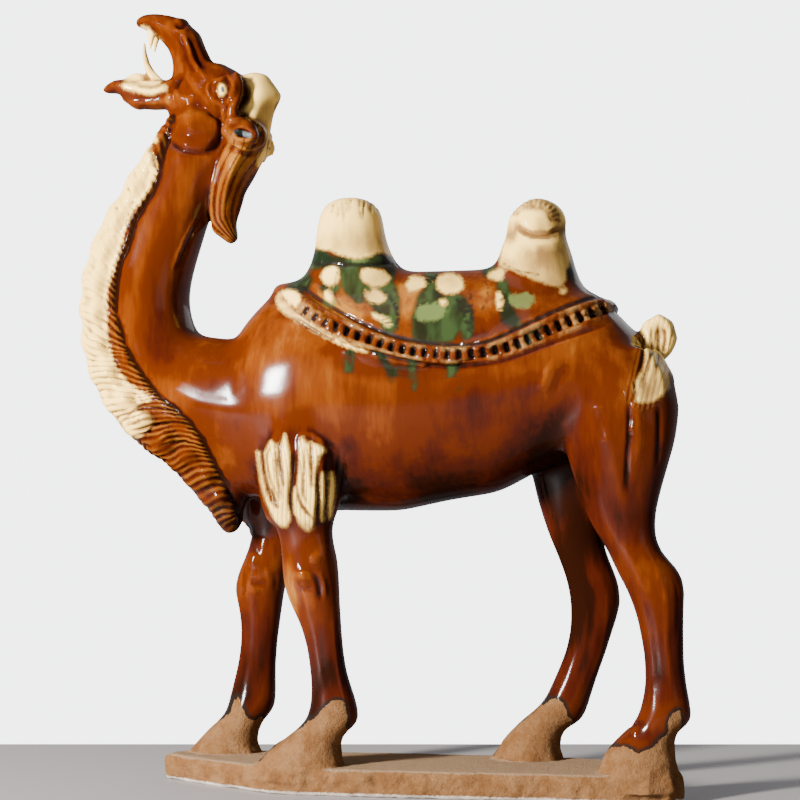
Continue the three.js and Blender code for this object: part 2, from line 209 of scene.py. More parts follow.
# The surface: the solid's form, made again as an even mesh
body = {
    "voxel": 1.15,
    "quickVoxel": 2.0,
    "triangles": 196000,
    "bodyRounds": 150,
    "headRounds": 12,
    # heights where one treatment of the legs gives way to another
    "calmAbove": (165, 185),
    "strokesAbove": (163, 176),
    "strokesBelow": (166, 190),
    "mirrorAbove": 165,
    # how much of the smoothing some parts are spared, and how much the crown still gets
    "fineParts": ("head", "crest", "ruff", "tuft", "tail", "band"),
    "spare": {"fine": 0.93, "humps": 0.75, "slab": 0.97},
    "crownCalm": 0.3,
    # how much the carved places are spared when the mesh is thinned
    "keepDetail": 2e-5,
    "keepFine": 0.9,
    "keepCloth": 0.6,
}


def placed(name, data):
    made = bpy.data.objects.new(name, data)
    bpy.context.scene.collection.objects.link(made)
    return made


def evenMesh(source, size):
    bm = bmesh.new()
    bm.from_mesh(source.data)
    bmesh.ops.remove_doubles(bm, verts=bm.verts, dist=1e-6)
    mesh = bpy.data.meshes.new("shell")
    bm.to_mesh(mesh)
    bm.free()
    shell = placed("shell", mesh)
    remesh = shell.modifiers.new("even", "REMESH")
    remesh.mode = "VOXEL"
    remesh.voxel_size = size / 1000
    remesh.adaptivity = 0
    return shell


def applied(obj):
    graph = bpy.context.evaluated_depsgraph_get()
    mesh = bpy.data.meshes.new_from_object(obj.evaluated_get(graph))
    obj.modifiers.clear()
    obj.data = mesh
    return mesh


def readVectors(items, field):
    values = np.empty(len(items) * 3)
    items.foreach_get(field, values)
    return values.reshape(-1, 3)


def writePoints(mesh, points):
    mesh.vertices.foreach_set("co", (points / 1000).ravel())
    mesh.update()


def neighbours(mesh):
    pairs = np.empty(len(mesh.edges) * 2, np.int32)
    mesh.edges.foreach_get("vertices", pairs)
    pairs = pairs.reshape(-1, 2)
    near = np.concatenate([pairs[:, 0], pairs[:, 1]])
    far = np.concatenate([pairs[:, 1], pairs[:, 0]])
    return near, far, np.maximum(np.bincount(near, minlength=len(mesh.vertices)), 1)


def averaged(web, values):
    near, far, count = web
    if values.ndim == 1:
        return np.bincount(near, values[far], len(count)) / count
    return np.stack([averaged(web, values[:, k]) for k in range(values.shape[1])], axis=1)


def spread(web, values, rounds, weight=1.0):
    values = values.copy()
    share = 0.9 * (weight[:, None] if values.ndim == 2 and np.ndim(weight) else weight)
    for _ in range(rounds):
        values += share * (averaged(web, values) - values)
    return values


# Smooths without shrinking: what the first pass took away is smoothed and given back
def faired(web, values, rounds, weight):
    calm = spread(web, values, rounds, weight)
    return calm + spread(web, values - calm, rounds, weight)


shell = evenMesh(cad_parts["sancai_camel"], body["voxel"])
mesh = applied(shell)
points = readVectors(mesh.vertices, "co") * 1000
web = neighbours(mesh)
u, v = picturePlace(points)
print("even mesh", len(points))

# Lines that several parts of the work share
# the ruff's front edge, at even heights
ruffFront = [(165, 118),
             *zip((157, 146, 136, 130, 120, 110, 102, 97, 92, 88, 85, 83, 82, 83, 84, 86, 91, 98,
                   106, 116, 131, 148, 168, 184, 200, 212, 220), range(135, 526, 15)),
             (230, 534)]
ruffBack = [(172, 118), (168, 135), (164, 150), (160, 165), (157, 180), (151, 192), (142, 207),
            (134, 220), (129, 240), (121, 258), (116, 275), (115, 290), (114, 305), (116, 320),
            (120, 332), (124, 345), (131, 360), (144, 380), (157, 396), (172, 408), (186, 420),
            (197, 434), (206, 450), (214, 466), (222, 480), (229, 494), (235, 508), (239, 522),
            (236, 534)]
lockLeft = [(225, 143), (217, 160), (210, 180), (208, 204), (210, 221), (217, 230), (228, 239),
            (235, 244)]
lockRight = [(283, 130), (268, 160), (253, 178), (244, 193), (238, 211), (237, 226), (240, 239)]
band = curve([(296, 305), (306, 311), (317, 318), (329, 325), (340, 329), (352, 333), (364, 337),
              (375, 340), (386, 345), (399, 348), (413, 351), (427, 352.5), (437, 353.5),
              (450, 354), (462, 354), (475, 353), (488, 351), (502, 349), (513, 346), (524, 342),
              (536, 337), (551, 329), (561, 325), (573, 320), (585, 315), (596, 311), (606, 307),
              (614, 305)], 3)
clothEdge = [(303, 287), (323, 301), (357, 320.5), (391, 335), (425, 342.5), (455, 345),
             (484, 342.5), (508, 333), (539, 318), (573, 303.5), (600, 296)]
ruffEdge = [(x - 22, y + 4) for x, y in ruffFront] + ruffBack[::-1]

# Outlines on the picture
areas = {
    "head": [(95, 60), (130, 5), (200, 5), (240, 60), (295, 60), (300, 110), (285, 165), (262, 166),
             (215, 152), (165, 152), (140, 125), (95, 105)],
    "mouth": [(134, 24), (160, 24), (168, 45), (170, 70), (156, 92), (120, 92), (112, 84),
              (134, 78)],
    "crown": [(238, 66), (262, 66), (284, 76), (292, 92), (284, 110), (280, 150), (266, 165),
              (252, 160), (263, 147), (266, 133), (257, 120), (246, 112), (244, 104), (250, 97),
              (247, 84)],
    "crest": [(223, 143), (212, 180), (205, 204), (206, 226), (222, 242), (238, 252), (247, 240),
              (243, 220), (262, 185), (286, 145), (262, 137)],
    "ruff": ruffEdge,
    "frontHump": [(316, 250), (318, 225), (323, 205), (332, 194), (372, 194), (382, 208),
                  (390, 250)],
    "rearHump": [(500, 250), (505, 225), (513, 205), (535, 190), (560, 205), (569, 225), (573, 262),
                 (545, 262), (520, 256)],
    "tuft": [(254, 438), (257, 490), (268, 526), (296, 538), (328, 530), (345, 490), (352, 445),
             (330, 430), (280, 428)],
    "tail": [(636, 410), (622, 395), (632, 365), (638, 330), (650, 308), (674, 308), (686, 330),
             (684, 355), (674, 382), (652, 410)],
}

high = smoothStep(*body["calmAbove"], points[:, 2])
zones = {name: smoothStep(-3, 3, depthIn(u, v, outline)) * high for name, outline in areas.items()}
zones["band"] = (1 - smoothStep(16, 22, beside(u, v, band)[0])) * high
slabZone = 1 - smoothStep(*slab["edge"], points[:, 2])
fineParts = np.maximum.reduce([zones[name] for name in body["fineParts"]])
calm = 1 - body["spare"]["fine"] * fineParts
calm *= 1 - body["spare"]["humps"] * np.maximum(zones["frontHump"], zones["rearHump"])
calm = np.maximum(calm, body["crownCalm"] * zones["crown"])
calm *= (1 - body["spare"]["slab"] * slabZone) * (1 - zones["mouth"])
points = faired(web, points, body["bodyRounds"] // (1), calm)
points = faired(web, points, body["headRounds"], (1 - zones["mouth"]) * (1 - slabZone))
writePoints(mesh, points)
print("surface calmed")

# Carving, each stroke as (points, half width in pixels, height in millimetres)
carving = {
    "lips": [
        ([(104, 91), (110, 87), (117, 84.5), (125, 85), (133, 86.5), (144, 90.5), (154, 91),
          (165, 86), (173, 79), (177, 69), (176, 59), (171.5, 49), (165, 40), (157, 33)], 3.0, 1.4),
        ([(113, 95), (125, 96), (134, 99), (146, 99), (158, 97), (170, 91), (180, 82), (184, 70),
          (183, 58), (178, 46)], 2.4, -1.2),
        ([(118, 98), (126, 104), (134, 108), (144, 108)], 5.0, 1.2),
    ],
    "muzzle": [
        ([(182, 31), (189, 47), (193, 60), (201, 72), (208, 81)], 2.0, 1.6),
        ([(177, 34), (184, 49), (188, 62), (196, 75)], 2.2, -1.4),
        ([(188, 36), (195, 50), (200, 62), (208, 72)], 2.6, -1.2),
        ([(175.5, 24.5), (181, 27.5), (187.5, 25.5)], 1.5, -2.2),
        ([(173, 21), (180, 20.5), (187, 21), (190.5, 24.5)], 1.8, 1.2),
        ([(174, 28), (180, 31.5), (188, 29.5)], 1.7, 1.2),
    ],
    "cheek": [
        ([(170, 87), (172, 93), (175, 99)], 1.4, -0.6),
        ([(176.5, 84), (179, 90), (183, 96)], 1.4, -0.6),
        ([(184, 78), (187, 83), (190, 89)], 1.4, -0.5),
        ([(166, 92), (168, 98), (171, 103)], 1.8, 0.4),
        ([(173, 85), (176, 91), (179, 97)], 1.8, 0.5),
        ([(180.5, 80), (183, 86), (187, 92)], 1.8, 0.5),
        ([(189, 75), (191.5, 81), (193, 87)], 1.8, 0.4),
        ([(166, 131), (171, 142), (182, 150), (197, 153.5), (210, 151), (218, 143),
          (222, 131)], 3.2, -2.2),
        ([(165, 110), (164, 120), (165, 130)], 2.5, -0.8),
        ([(195, 110), (196, 125), (196, 135)], 20.0, 1.6),
        ([(177, 138), (190, 145), (205, 144), (212, 137)], 5.0, 0.7),
    ],
    "eye": [
        ([(212, 80.5), (208.5, 86), (208.5, 92), (212, 99), (221, 106)], 1.9, 2.0),
        ([(212, 80), (218, 80.5), (223, 79), (229, 77.5), (233.5, 84), (233, 93), (229, 101),
          (224, 107)],
         1.9, 2.3),
        ([(228, 82), (229.5, 89), (226.5, 97)], 1.2, 0.8),
        ([(217, 84), (222, 81.5), (227, 84.5), (228, 91), (224, 98), (219, 99.5), (216, 93),
          (217, 84)],
         1.3, -1.5),
        ([(222, 86), (222.5, 90), (221.5, 93)], 3.6, 1.7),
        ([(222.5, 88.5), (222.8, 91)], 1.5, -0.8),
    ],
    "brow": [
        ([(230, 77), (237, 80), (239.5, 91), (236, 102), (231, 112), (231, 120),
          (237, 124)], 3.8, 2.8),
        ([(246, 84), (248, 94), (244, 105), (238, 112)], 3.0, -1.9),
        ([(222, 107), (224, 117), (226, 128), (228, 138)], 2.2, 1.9),
        ([(217, 104), (219.5, 117), (221, 131), (220, 145)], 2.2, -1.8),
        ([(228, 106), (228, 116), (231, 126)], 1.5, -1.0),
    ],
    "ear": [
        ([(230, 122), (238, 120.5), (247, 121.5), (257, 125.5), (262.5, 133), (261, 142),
          (251, 148), (240, 146), (231, 139), (228, 130), (230, 122)], 2.8, 2.8),
        ([(233, 130), (239, 127), (248, 128), (255, 132), (254, 138), (246, 140.5), (237, 138),
          (233, 130)], 1.2, 1.0),
        ([(238, 132), (244, 133.5), (250, 135)], 3.2, -4.2),
        ([(226, 146), (238, 152), (252, 154), (264, 147), (268, 134)], 2.0, -1.2),
    ],
    "neck": [
        ([(197, 214), (190, 227), (183, 241), (177, 255), (172.5, 268)], 1.2, 1.0),
        ([(200.5, 217), (194, 230), (187, 244), (181, 258), (175.5, 270)], 2.0, -0.9),
        ([(222, 350), (226, 372), (228, 395), (226, 420)], 5.0, -0.08),
        ([(236, 352), (240, 375), (241, 400)], 5.0, 0.4),
        ([(190, 165), (188, 200), (180, 240), (170, 290), (175, 330)], 8.0, 0.6),
        ([(182, 158), (170, 200), (150, 245), (140, 290), (145, 340)], 9.0, 0.5),
    ],
    "flank": [
        ([(540, 393), (548, 373), (559, 359)], 4.0, 1.2),
        ([(553, 395), (560, 378), (569, 366)], 3.5, -0.9),
        ([(629, 398), (630, 425), (628, 455), (627, 490)], 2.2, -2.0),
        ([(638, 400), (640, 430), (638, 465)], 4.0, 0.8),
        ([(658, 404), (659, 435), (657, 468)], 2.4, -1.3),
        ([(604, 400), (610, 440), (618, 480), (628, 520)], 6.0, 0.8),
        ([(560, 440), (572, 480), (592, 520)], 5.0, -0.6),
        ([(598.5, 405), (598.5, 410)], 4.0, 0.8),
        ([(606, 436), (607, 442)], 3.5, 0.7),
        ([(632, 425), (632.5, 432)], 2.0, 0.9),
    ],
    "ruff": [
        ([(157, 139), (150, 147), (154, 158), (156, 170), (153, 182), (150, 190)], 1.6, -1.6),
        ([(163, 120), (167, 140), (161, 162)], 1.4, -1.1),
        ([(158, 128), (160, 145), (158, 168)], 1.2, 0.9),
        ([(168, 122), (170, 140), (164, 160), (158, 178)], 1.4, 0.9),
        ([(127, 187), (131.5, 195.5)], 1.3, -1.6),
        ([(116, 207), (120, 214)], 1.2, -1.4),
        ([(134, 172), (138, 180)], 1.1, -0.9),
        ([(108, 228), (112, 236)], 1.1, -1.1),
        ([(99, 246), (104, 255)], 1.1, -1.0),
        ([(126, 420), (131, 413), (141, 408), (156, 407.5), (170, 411), (184, 420)], 1.5, -1.9),
        ([(146, 438), (150, 430), (160, 424), (173, 422), (186, 424), (198, 431)], 1.5, -1.9),
        ([(156, 452), (163, 445), (174, 441.5), (188, 442), (203, 447)], 1.3, -1.3),
    ],
    "frontHump": [([(x, top), (x + lean / 2, (top + low) / 2), (x + lean, low)], 0.9, -0.9)
                  for x, top, low, lean in (
                      (333, 203, 214, -2), (338, 199, 219, 0), (342, 198, 223, 3),
                      (347, 197, 213, 1), (351, 197, 209, 0), (360, 197, 218, 1),
                      (365, 198, 220, -2), (370, 199, 213, 1), (375, 201, 212, 2))],
    "rearHump": [([(532 + 31 * math.sin(a), 226 - 29 * math.cos(a)),
                   (533 + 17 * math.sin(a), 224 - 15 * math.cos(a))], 1.0, -0.9)
                 for a in np.linspace(-1.0, 1.35, 13)]
                + [([(516, 222), (523, 231), (538, 235), (553, 233), (565, 226)], 3.0, -1.6),
                   ([(512, 232), (530, 242), (552, 243), (568, 236)], 6.0, 0.8)],
    "tail": [
        ([(663, 327), (665, 340), (664, 353)], 1.6, -2.2),
        ([(643, 330), (644, 345), (643, 362), (638, 376)], 1.6, -1.4),
        ([(650, 316), (652, 335), (652, 352), (646, 372), (641, 392)], 1.3, -0.9),
        ([(658, 318), (659, 340), (658, 362), (653, 385)], 1.2, -0.8),
        ([(634, 380), (636, 392), (634, 404)], 1.4, -1.2),
        ([(629, 384), (630, 396), (629, 405)], 1.2, -0.9),
        ([(672, 322), (673, 335), (669, 350)], 1.2, -0.7),
    ],
}
legs = {
    "strokes": [  # in their own places on both sides
        ([(303, 570), (303, 580)], 6.0, 2.0),
        ([(314, 555), (316, 563)], 3.6, 1.5),
        ([(300, 586), (306, 590), (313, 588)], 2.4, -0.8),
        ([(315, 573), (319, 584), (321, 599)], 2.2, -1.3),
        ([(318, 569), (323.5, 583), (325, 602)], 2.0, 1.0),
        ([(293.5, 577), (299, 592), (303, 618)], 2.4, -0.6),
        ([(288, 560), (291, 585), (299, 612)], 2.4, 0.7),
        ([(318, 620), (322, 655), (329, 690)], 3.0, -0.5),
        ([(333, 610), (335, 650), (341, 690), (350, 712)], 2.6, 0.7),
        ([(648, 552), (660, 575), (667, 600), (668, 650), (674, 700)], 3.0, 0.8),
        ([(640, 585), (650, 620), (656, 660), (657, 700)], 3.2, -0.6),
        ([(622, 540), (636, 570), (650, 600)], 4.0, 0.7),
        ([(675, 575), (678, 600), (677, 640)], 2.5, -0.6),
        ([(632, 730), (638, 734)], 4.0, 1.2),
        ([(625, 726), (645, 722)], 2.0, -0.7),
        ([(254, 552), (251, 568)], 5.0, 1.6),
        ([(251, 580), (258, 584), (267, 583)], 2.6, -0.9),
        ([(251, 590), (258, 592)], 3.0, 1.0),
        ([(274, 570), (276, 581), (275, 592)], 2.6, -0.6),
        ([(244, 569), (243, 597)], 1.6, -0.8),
        ([(266, 566), (269, 578)], 1.4, 0.8),
        ([(590, 560), (606, 590), (604, 640), (590, 690)], 3.0, 0.6),
        ([(578, 570), (590, 600), (588, 650), (574, 690)], 3.0, -0.5),
    ],
}
cloth = {
    "strokes": [
        (clothEdge, 1.6, -2.0),
        ([(298, 294), (320, 308), (353, 325), (388, 339.5), (424, 346.5), (455, 349), (486, 346.5),
          (512, 337), (542, 323), (576, 308), (604, 300)], 1.7, 1.2),
        ([(292, 317), (320, 333.5), (345, 344), (372, 352), (405, 360.5), (442, 367), (467, 366),
          (503, 361), (539, 348), (575, 335), (611, 323)], 1.6, -1.6),
        ([(289, 311), (320, 328), (346, 339), (372, 347.5), (405, 356), (442, 361.5), (466, 361),
          (501, 356), (536, 344), (573, 329), (609, 315)], 2.0, 1.5),
        ([(310, 283), (330, 296), (358, 313)], 1.6, 0.6),
        ([(312, 263), (340, 264.5), (372, 264.5), (396, 262)], 1.8, -1.0),
    ],
    "area": [(305, 262), (345, 258), (395, 262), (490, 262), (500, 260), (575, 262), (600, 290),
             (520, 340), (450, 356), (380, 342), (320, 312)],
    # the pleated band: pits and ridges, each from where its sides start to where it is full
    "pitch": 11.6,
    "pit": -2.2,
    "pitSides": (5.4, 3.4),
    "ridge": 1.1,
    "ridgeSides": (6.8, 3.5),
    "endFade": 12,
}
hair = {
    # a strand slides along the front edge as it runs inwards: steady share, then growing share
    "slide": [(0, 0.5), (100, 0.55), (170, 0.65), (240, 0.55), (290, 0.3), (350, 0.05), (500, 0.0)],
    "bend": [(0, 0.0), (230, 0.1), (290, 0.45), (350, 0.85), (420, 1.0), (500, 1.0)],
    "gain": [(0, 0.3), (40, 0.2), (90, 0.12), (150, 0.2), (200, 0.4), (250, 0.8), (330, 1.0),
             (380, 0.8), (440, 0.6), (492, 0.4)],
    # waves along the strands: amount, size and seed; the last sets where strands fade
    "wobble": [(0.34, 34, 3), (0.06, 15, 4)],
    "patchy": (0.55, 24, 9),
    "strand": 7.6,
    "deep": 0.95,
    "raised": 0.9,
    "swell": (0.35, 30, 6),
    # the ditch round the ruff: depth, how far out and half width
    "ditch": (1.1, 2.0, 1.9),
    "lockStrands": 3.4,
    "lockDeep": 0.25,
    "tuftDeep": 1.6,
    "tailPitch": 4.6,
    "tuftPitch": 4.6,
}
tuft = {
    "cream": [
        [(256.5, 452), (258.5, 470), (261, 486), (265, 500), (269.5, 511), (275, 521), (281, 527),
         (288, 526), (290.5, 516), (288.5, 501), (289.5, 481), (290, 460), (288.5, 446),
         (284.5, 433), (281, 441), (276, 446), (270.5, 440), (266, 450), (262, 452)],
        [(299, 442), (302.5, 436.5), (307, 444), (310, 441), (318, 445), (326.5, 450.5), (322, 454),
         (318, 462), (316, 474), (316.5, 486), (317, 500), (315, 515), (313.5, 527), (307, 531),
         (300.5, 526), (297, 517), (293, 510), (292.5, 498), (294, 488), (297.5, 484),
         (298.5, 470)],
        [(322, 472), (325, 474), (326, 490), (324.5, 508), (322.5, 522), (320, 515), (320, 495),
         (321, 480)],
        [(330, 472), (334.5, 474), (336, 490), (333.5, 508), (330.5, 520), (328, 512),
         (328.5, 490)],
    ],
    # grooves between the locks, each with its half width
    "grooves": [
        ([(261, 440), (262, 456), (264, 472), (267.5, 488), (271, 500)], 1.9),
        ([(270, 447), (266.5, 457), (268, 470), (272, 484), (279, 498)], 0.6),
        ([(275, 446), (275.5, 462), (277, 478), (280, 497)], 0.7),
        ([(279.5, 440), (279.5, 460), (281, 472), (283, 484)], 1.5),
        ([(271, 489), (273.5, 497), (276, 506)], 1.7),
        ([(311, 437), (311, 455), (311.5, 472), (312, 486)], 1.1),
        ([(297, 484), (299, 499), (306, 511), (314, 519)], 0.8),
        ([(304.5, 447), (304, 470), (303, 490), (306, 502)], 0.4),
        ([(294, 438), (294, 460), (292, 480), (290.5, 500), (293.5, 520)], 2.2),
        ([(319, 457), (318.5, 480), (319, 505), (316.5, 522)], 1.4),
        ([(327.5, 455), (327, 480), (327, 505)], 1.1),
        ([(339, 450), (338, 480), (336, 505)], 1.1),
        ([(345, 455), (344, 480), (341, 500)], 0.9),
    ],
    "raised": 0.7,
    # strands on the far side's tuft, where the far leg hides the picture's own
    "far": {"x": (-122, -50), "z": (150, 240), "fade": (8, 15), "deep": 0.3, "pitch": 6.5},
    "loops": [
        ([(298, 446), (299, 439), (303, 433.5), (310, 434), (319, 439), (327, 447)], 1.5, 1.2),
        ([(303, 432), (312, 431), (322, 436), (333, 445), (341, 450)], 1.3, -1.0),
    ],
}


# How a stroke ends: the share of its length that fades, and what is left of it at the tip
chisel = {"fade": 0.22, "clothFade": 0.06, "grooveFade": 0.3, "tip": 0.15}


def press(u, v, line, width, height, fade=chisel["fade"]):
    line = curve(line, 6)
    some = nearby(u, v, line, 3 * width)
    out = np.zeros(len(u))
    if len(some) == 0:
        return out
    gap, run, total = beside(u[some], v[some], line)
    closed = math.dist(line[0], line[-1]) < 0.5
    whole = smoothStep(0, 1, np.minimum(run, total - run) / (fade * total + 0.01))
    tip = chisel["tip"]
    out[some] = height * np.exp(-(gap / width) ** 2) * (1.0 if closed else tip + (1 - tip) * whole)
    return out


# Faces that look outwards; inner faces of the far side get no strokes
def outward(points, normals):
    facing = normals[:, 1] * np.sign(points[:, 1])
    return np.where(points[:, 2] > 170, smoothStep(-0.4, -0.1, facing), 1.0)


# The ruff: how far in a place lies, the strand it is on and how strongly the strands show
def ruffStrands(u, v, points):
    gap, run = beside(u, v, curve(ruffFront, 3))[:2]
    inner = depthIn(u, v, ruffEdge, 2)
    slide, bend, gain = (np.interp(run, *np.array(hair[name]).T)
                         for name in ("slide", "bend", "gain"))
    lean = run - slide * gap - bend * gap ** 2 / 50
    wobble = sum(amount * waves(points, size, seed) for amount, size, seed in hair["wobble"])
    live = (points[:, 2] > 150) & (points[:, 0] < -97)
    amount, size, seed = hair["patchy"]
    gain = gain * np.clip(0.75 + amount * waves(points, size, seed), 0.15, 1.2)
    return np.where(live, inner, outside), lean / hair["strand"] + wobble, gain


# The lock behind the ear: share of the way across it
def acrossLock(u, v):
    left, right = (beside(u, v, curve(line, 4))[0] for line in (lockLeft, lockRight))
    return left / (left + right + 0.01)


def ridges(phase, power=0.6):
    return np.abs(np.sin(np.pi * phase)) ** power


# The pleated band: distance, place along it, its length, and the pleats as a wave
def bandBeat(u, v):
    gap, run, length = beside(u, v, band)
    beat = np.cos(2 * np.pi * run / cloth["pitch"] + 0.5 * np.sin(run * 0.05))
    return gap, run, length, beat


# How high the surface stands over its calmed form at each point, in millimetres
def relief(u, v, points, normals):
    x, y, z = points.T
    high = smoothStep(*body["strokesAbove"], z)
    low = 1 - smoothStep(*body["strokesBelow"], z)
    marks = [stroke for strokes in carving.values() for stroke in strokes]
    marks += [(*stroke, chisel["clothFade"]) for stroke in cloth["strokes"]]
    marks += tuft["loops"]
    marks += [(line, width + 0.9, -hair["tuftDeep"] * (0.7 + 0.25 * width), chisel["grooveFade"])
              for line, width in tuft["grooves"]]
    total = sum(press(u, v, *mark) for mark in marks)
    total += tuft["raised"] * smoothStep(-1.5, 2, deepest(u, v, tuft["cream"]))
    total *= high
    for stroke in legs["strokes"]:
        total += press(u, v, *stroke) * low

    gap, run, length, beat = bandBeat(u, v)
    ends = smoothStep(0, cloth["endFade"], run) * smoothStep(0, cloth["endFade"], length - run)
    pit = smoothStep(0.25, 0.8, beat) * smoothStep(*cloth["pitSides"], gap)
    ridge = smoothStep(0.35, -0.5, beat) * smoothStep(*cloth["ridgeSides"], gap)
    total += (cloth["pit"] * pit + cloth["ridge"] * ridge) * ends * high

    inner, phase, gain = ruffStrands(u, v, points)
    amount, size, seed = hair["swell"]
    swell = hair["raised"] + amount * waves(points, size, seed)
    strands = hair["deep"] * gain * (ridges(phase) * 2 - 1.25)
    total += smoothStep(-0.8, 0.8, inner) * (strands + swell)
    depth, out, half = hair["ditch"]
    total -= depth * np.exp(-((inner + out) / half) ** 2)
    lock = smoothStep(-1, 2, depthIn(u, v, areas["crest"])) * high
    lockPhase = acrossLock(u, v) * hair["lockStrands"] + 0.1 * waves(points, 30, 8)
    total += lock * hair["lockDeep"] * (ridges(lockPhase) * 1.6 - 1.0)

    far = tuft["far"]
    (left, right), (bottom, top), (sideFade, endFade) = far["x"], far["z"], far["fade"]
    farTuft = smoothStep(bottom, bottom + endFade, z) * smoothStep(top, top - endFade, z) * (y > 10)
    farTuft *= smoothStep(right, right - sideFade, x) * smoothStep(left, left + sideFade, x)
    farPhase = x / far["pitch"] + 0.2 * waves(points, 20, 12)
    total += farTuft * far["deep"] * (ridges(farPhase) * 2 - 1.2)
    total *= outward(points, normals)

    clay = (1 - smoothStep(*slab["fade"], z)) * smoothStep(-0.5, 0.5, bareDepth(points))
    rough = sum(share * grain(points, size, seed) for size, seed, share in slab["grains"])
    upright = 1 - np.clip(np.abs(normals[:, 2]), 0, 1)
    rim = smoothStep(0.25, 0.8, upright) * (1 - smoothStep(19, 26, z))
    top = smoothStep(0.7, 0.95, normals[:, 2]) * slabZone
    return total + clay * rough * (slab["rough"] + slab["rimRough"] * rim + slab["topRough"] * top)


# Where the glaze ends above the bare feet
feet = {
    "near": [
        [(255, 805), (258, 765), (275, 745), (296, 730), (303, 726), (312, 719), (322, 710.5),
         (331, 702), (338, 701), (345, 703.5), (347.5, 714), (347, 727), (352, 745), (352, 805)],
        [(588, 805), (592, 762), (597, 756.5), (606, 751), (616, 746.5), (627, 746.5), (638, 753),
         (648, 750), (660, 740), (668, 731), (669, 718), (673, 713), (680, 712), (682, 731),
         (690, 805)],
    ],
    "far": [
        [(180, 805), (195, 742), (215, 722), (224, 719), (231, 710), (234, 699), (239, 697),
         (243, 709), (248, 718), (256, 719), (264, 724), (268, 805)],
        [(480, 805), (503, 737), (518, 724), (532, 713), (547, 701.5), (556, 698.5), (564, 704),
         (568, 715), (574, 729), (584, 805)],
    ],
}


# How far inside the bare clay a place lies, in pixels; the slab is bare all over
def bareDepth(points):
    u, v = pixels(points)
    near = deepest(u, v, feet["near"])
    bare = np.where(points[:, 1] < 2, near, deepest(u, v, feet["far"]))
    bare = np.where(points[:, 2] < 90, np.maximum(bare, outside), outside)
    return np.maximum(bare, (slab["height"] - points[:, 2]) * 1.4)


normals = readVectors(mesh.vertex_normals, "vector")
height = relief(u, v, points, normals)
points = points + normals * height[:, None]
points = spread(web, points, 1, (1 - slabZone * 0.7) * 0.45)
lowest, highest = (np.array(cadBox[k]) * 1000 for k in (0, 1))
writePoints(mesh, np.clip(points, lowest, highest))
print("carved")

spared = shell.vertex_groups.new(name="thin")
onCloth = smoothStep(-4, 4, depthIn(u, v, cloth["area"])) * high
freedom = np.minimum(1 - body["keepFine"] * fineParts, 1 - body["keepCloth"] * onCloth)
levels = 10
for level in range(1, levels + 1):
    some = np.flatnonzero(np.round(freedom * levels) == level)
    if len(some):
        spared.add(some.tolist(), level / levels, "REPLACE")
thin = shell.modifiers.new("thin", "DECIMATE")
mesh.calc_loop_triangles()
thin.ratio = min(1.0, body["triangles"] / len(mesh.loop_triangles))
thin.vertex_group = "thin"
thin.vertex_group_factor = body["keepDetail"]
mesh = applied(shell)
shell.vertex_groups.clear()
points = np.clip(readVectors(mesh.vertices, "co") * 1000, lowest, highest)
writePoints(mesh, points)
mesh.calc_loop_triangles()
print("thinned to", len(mesh.loop_triangles), "triangles")

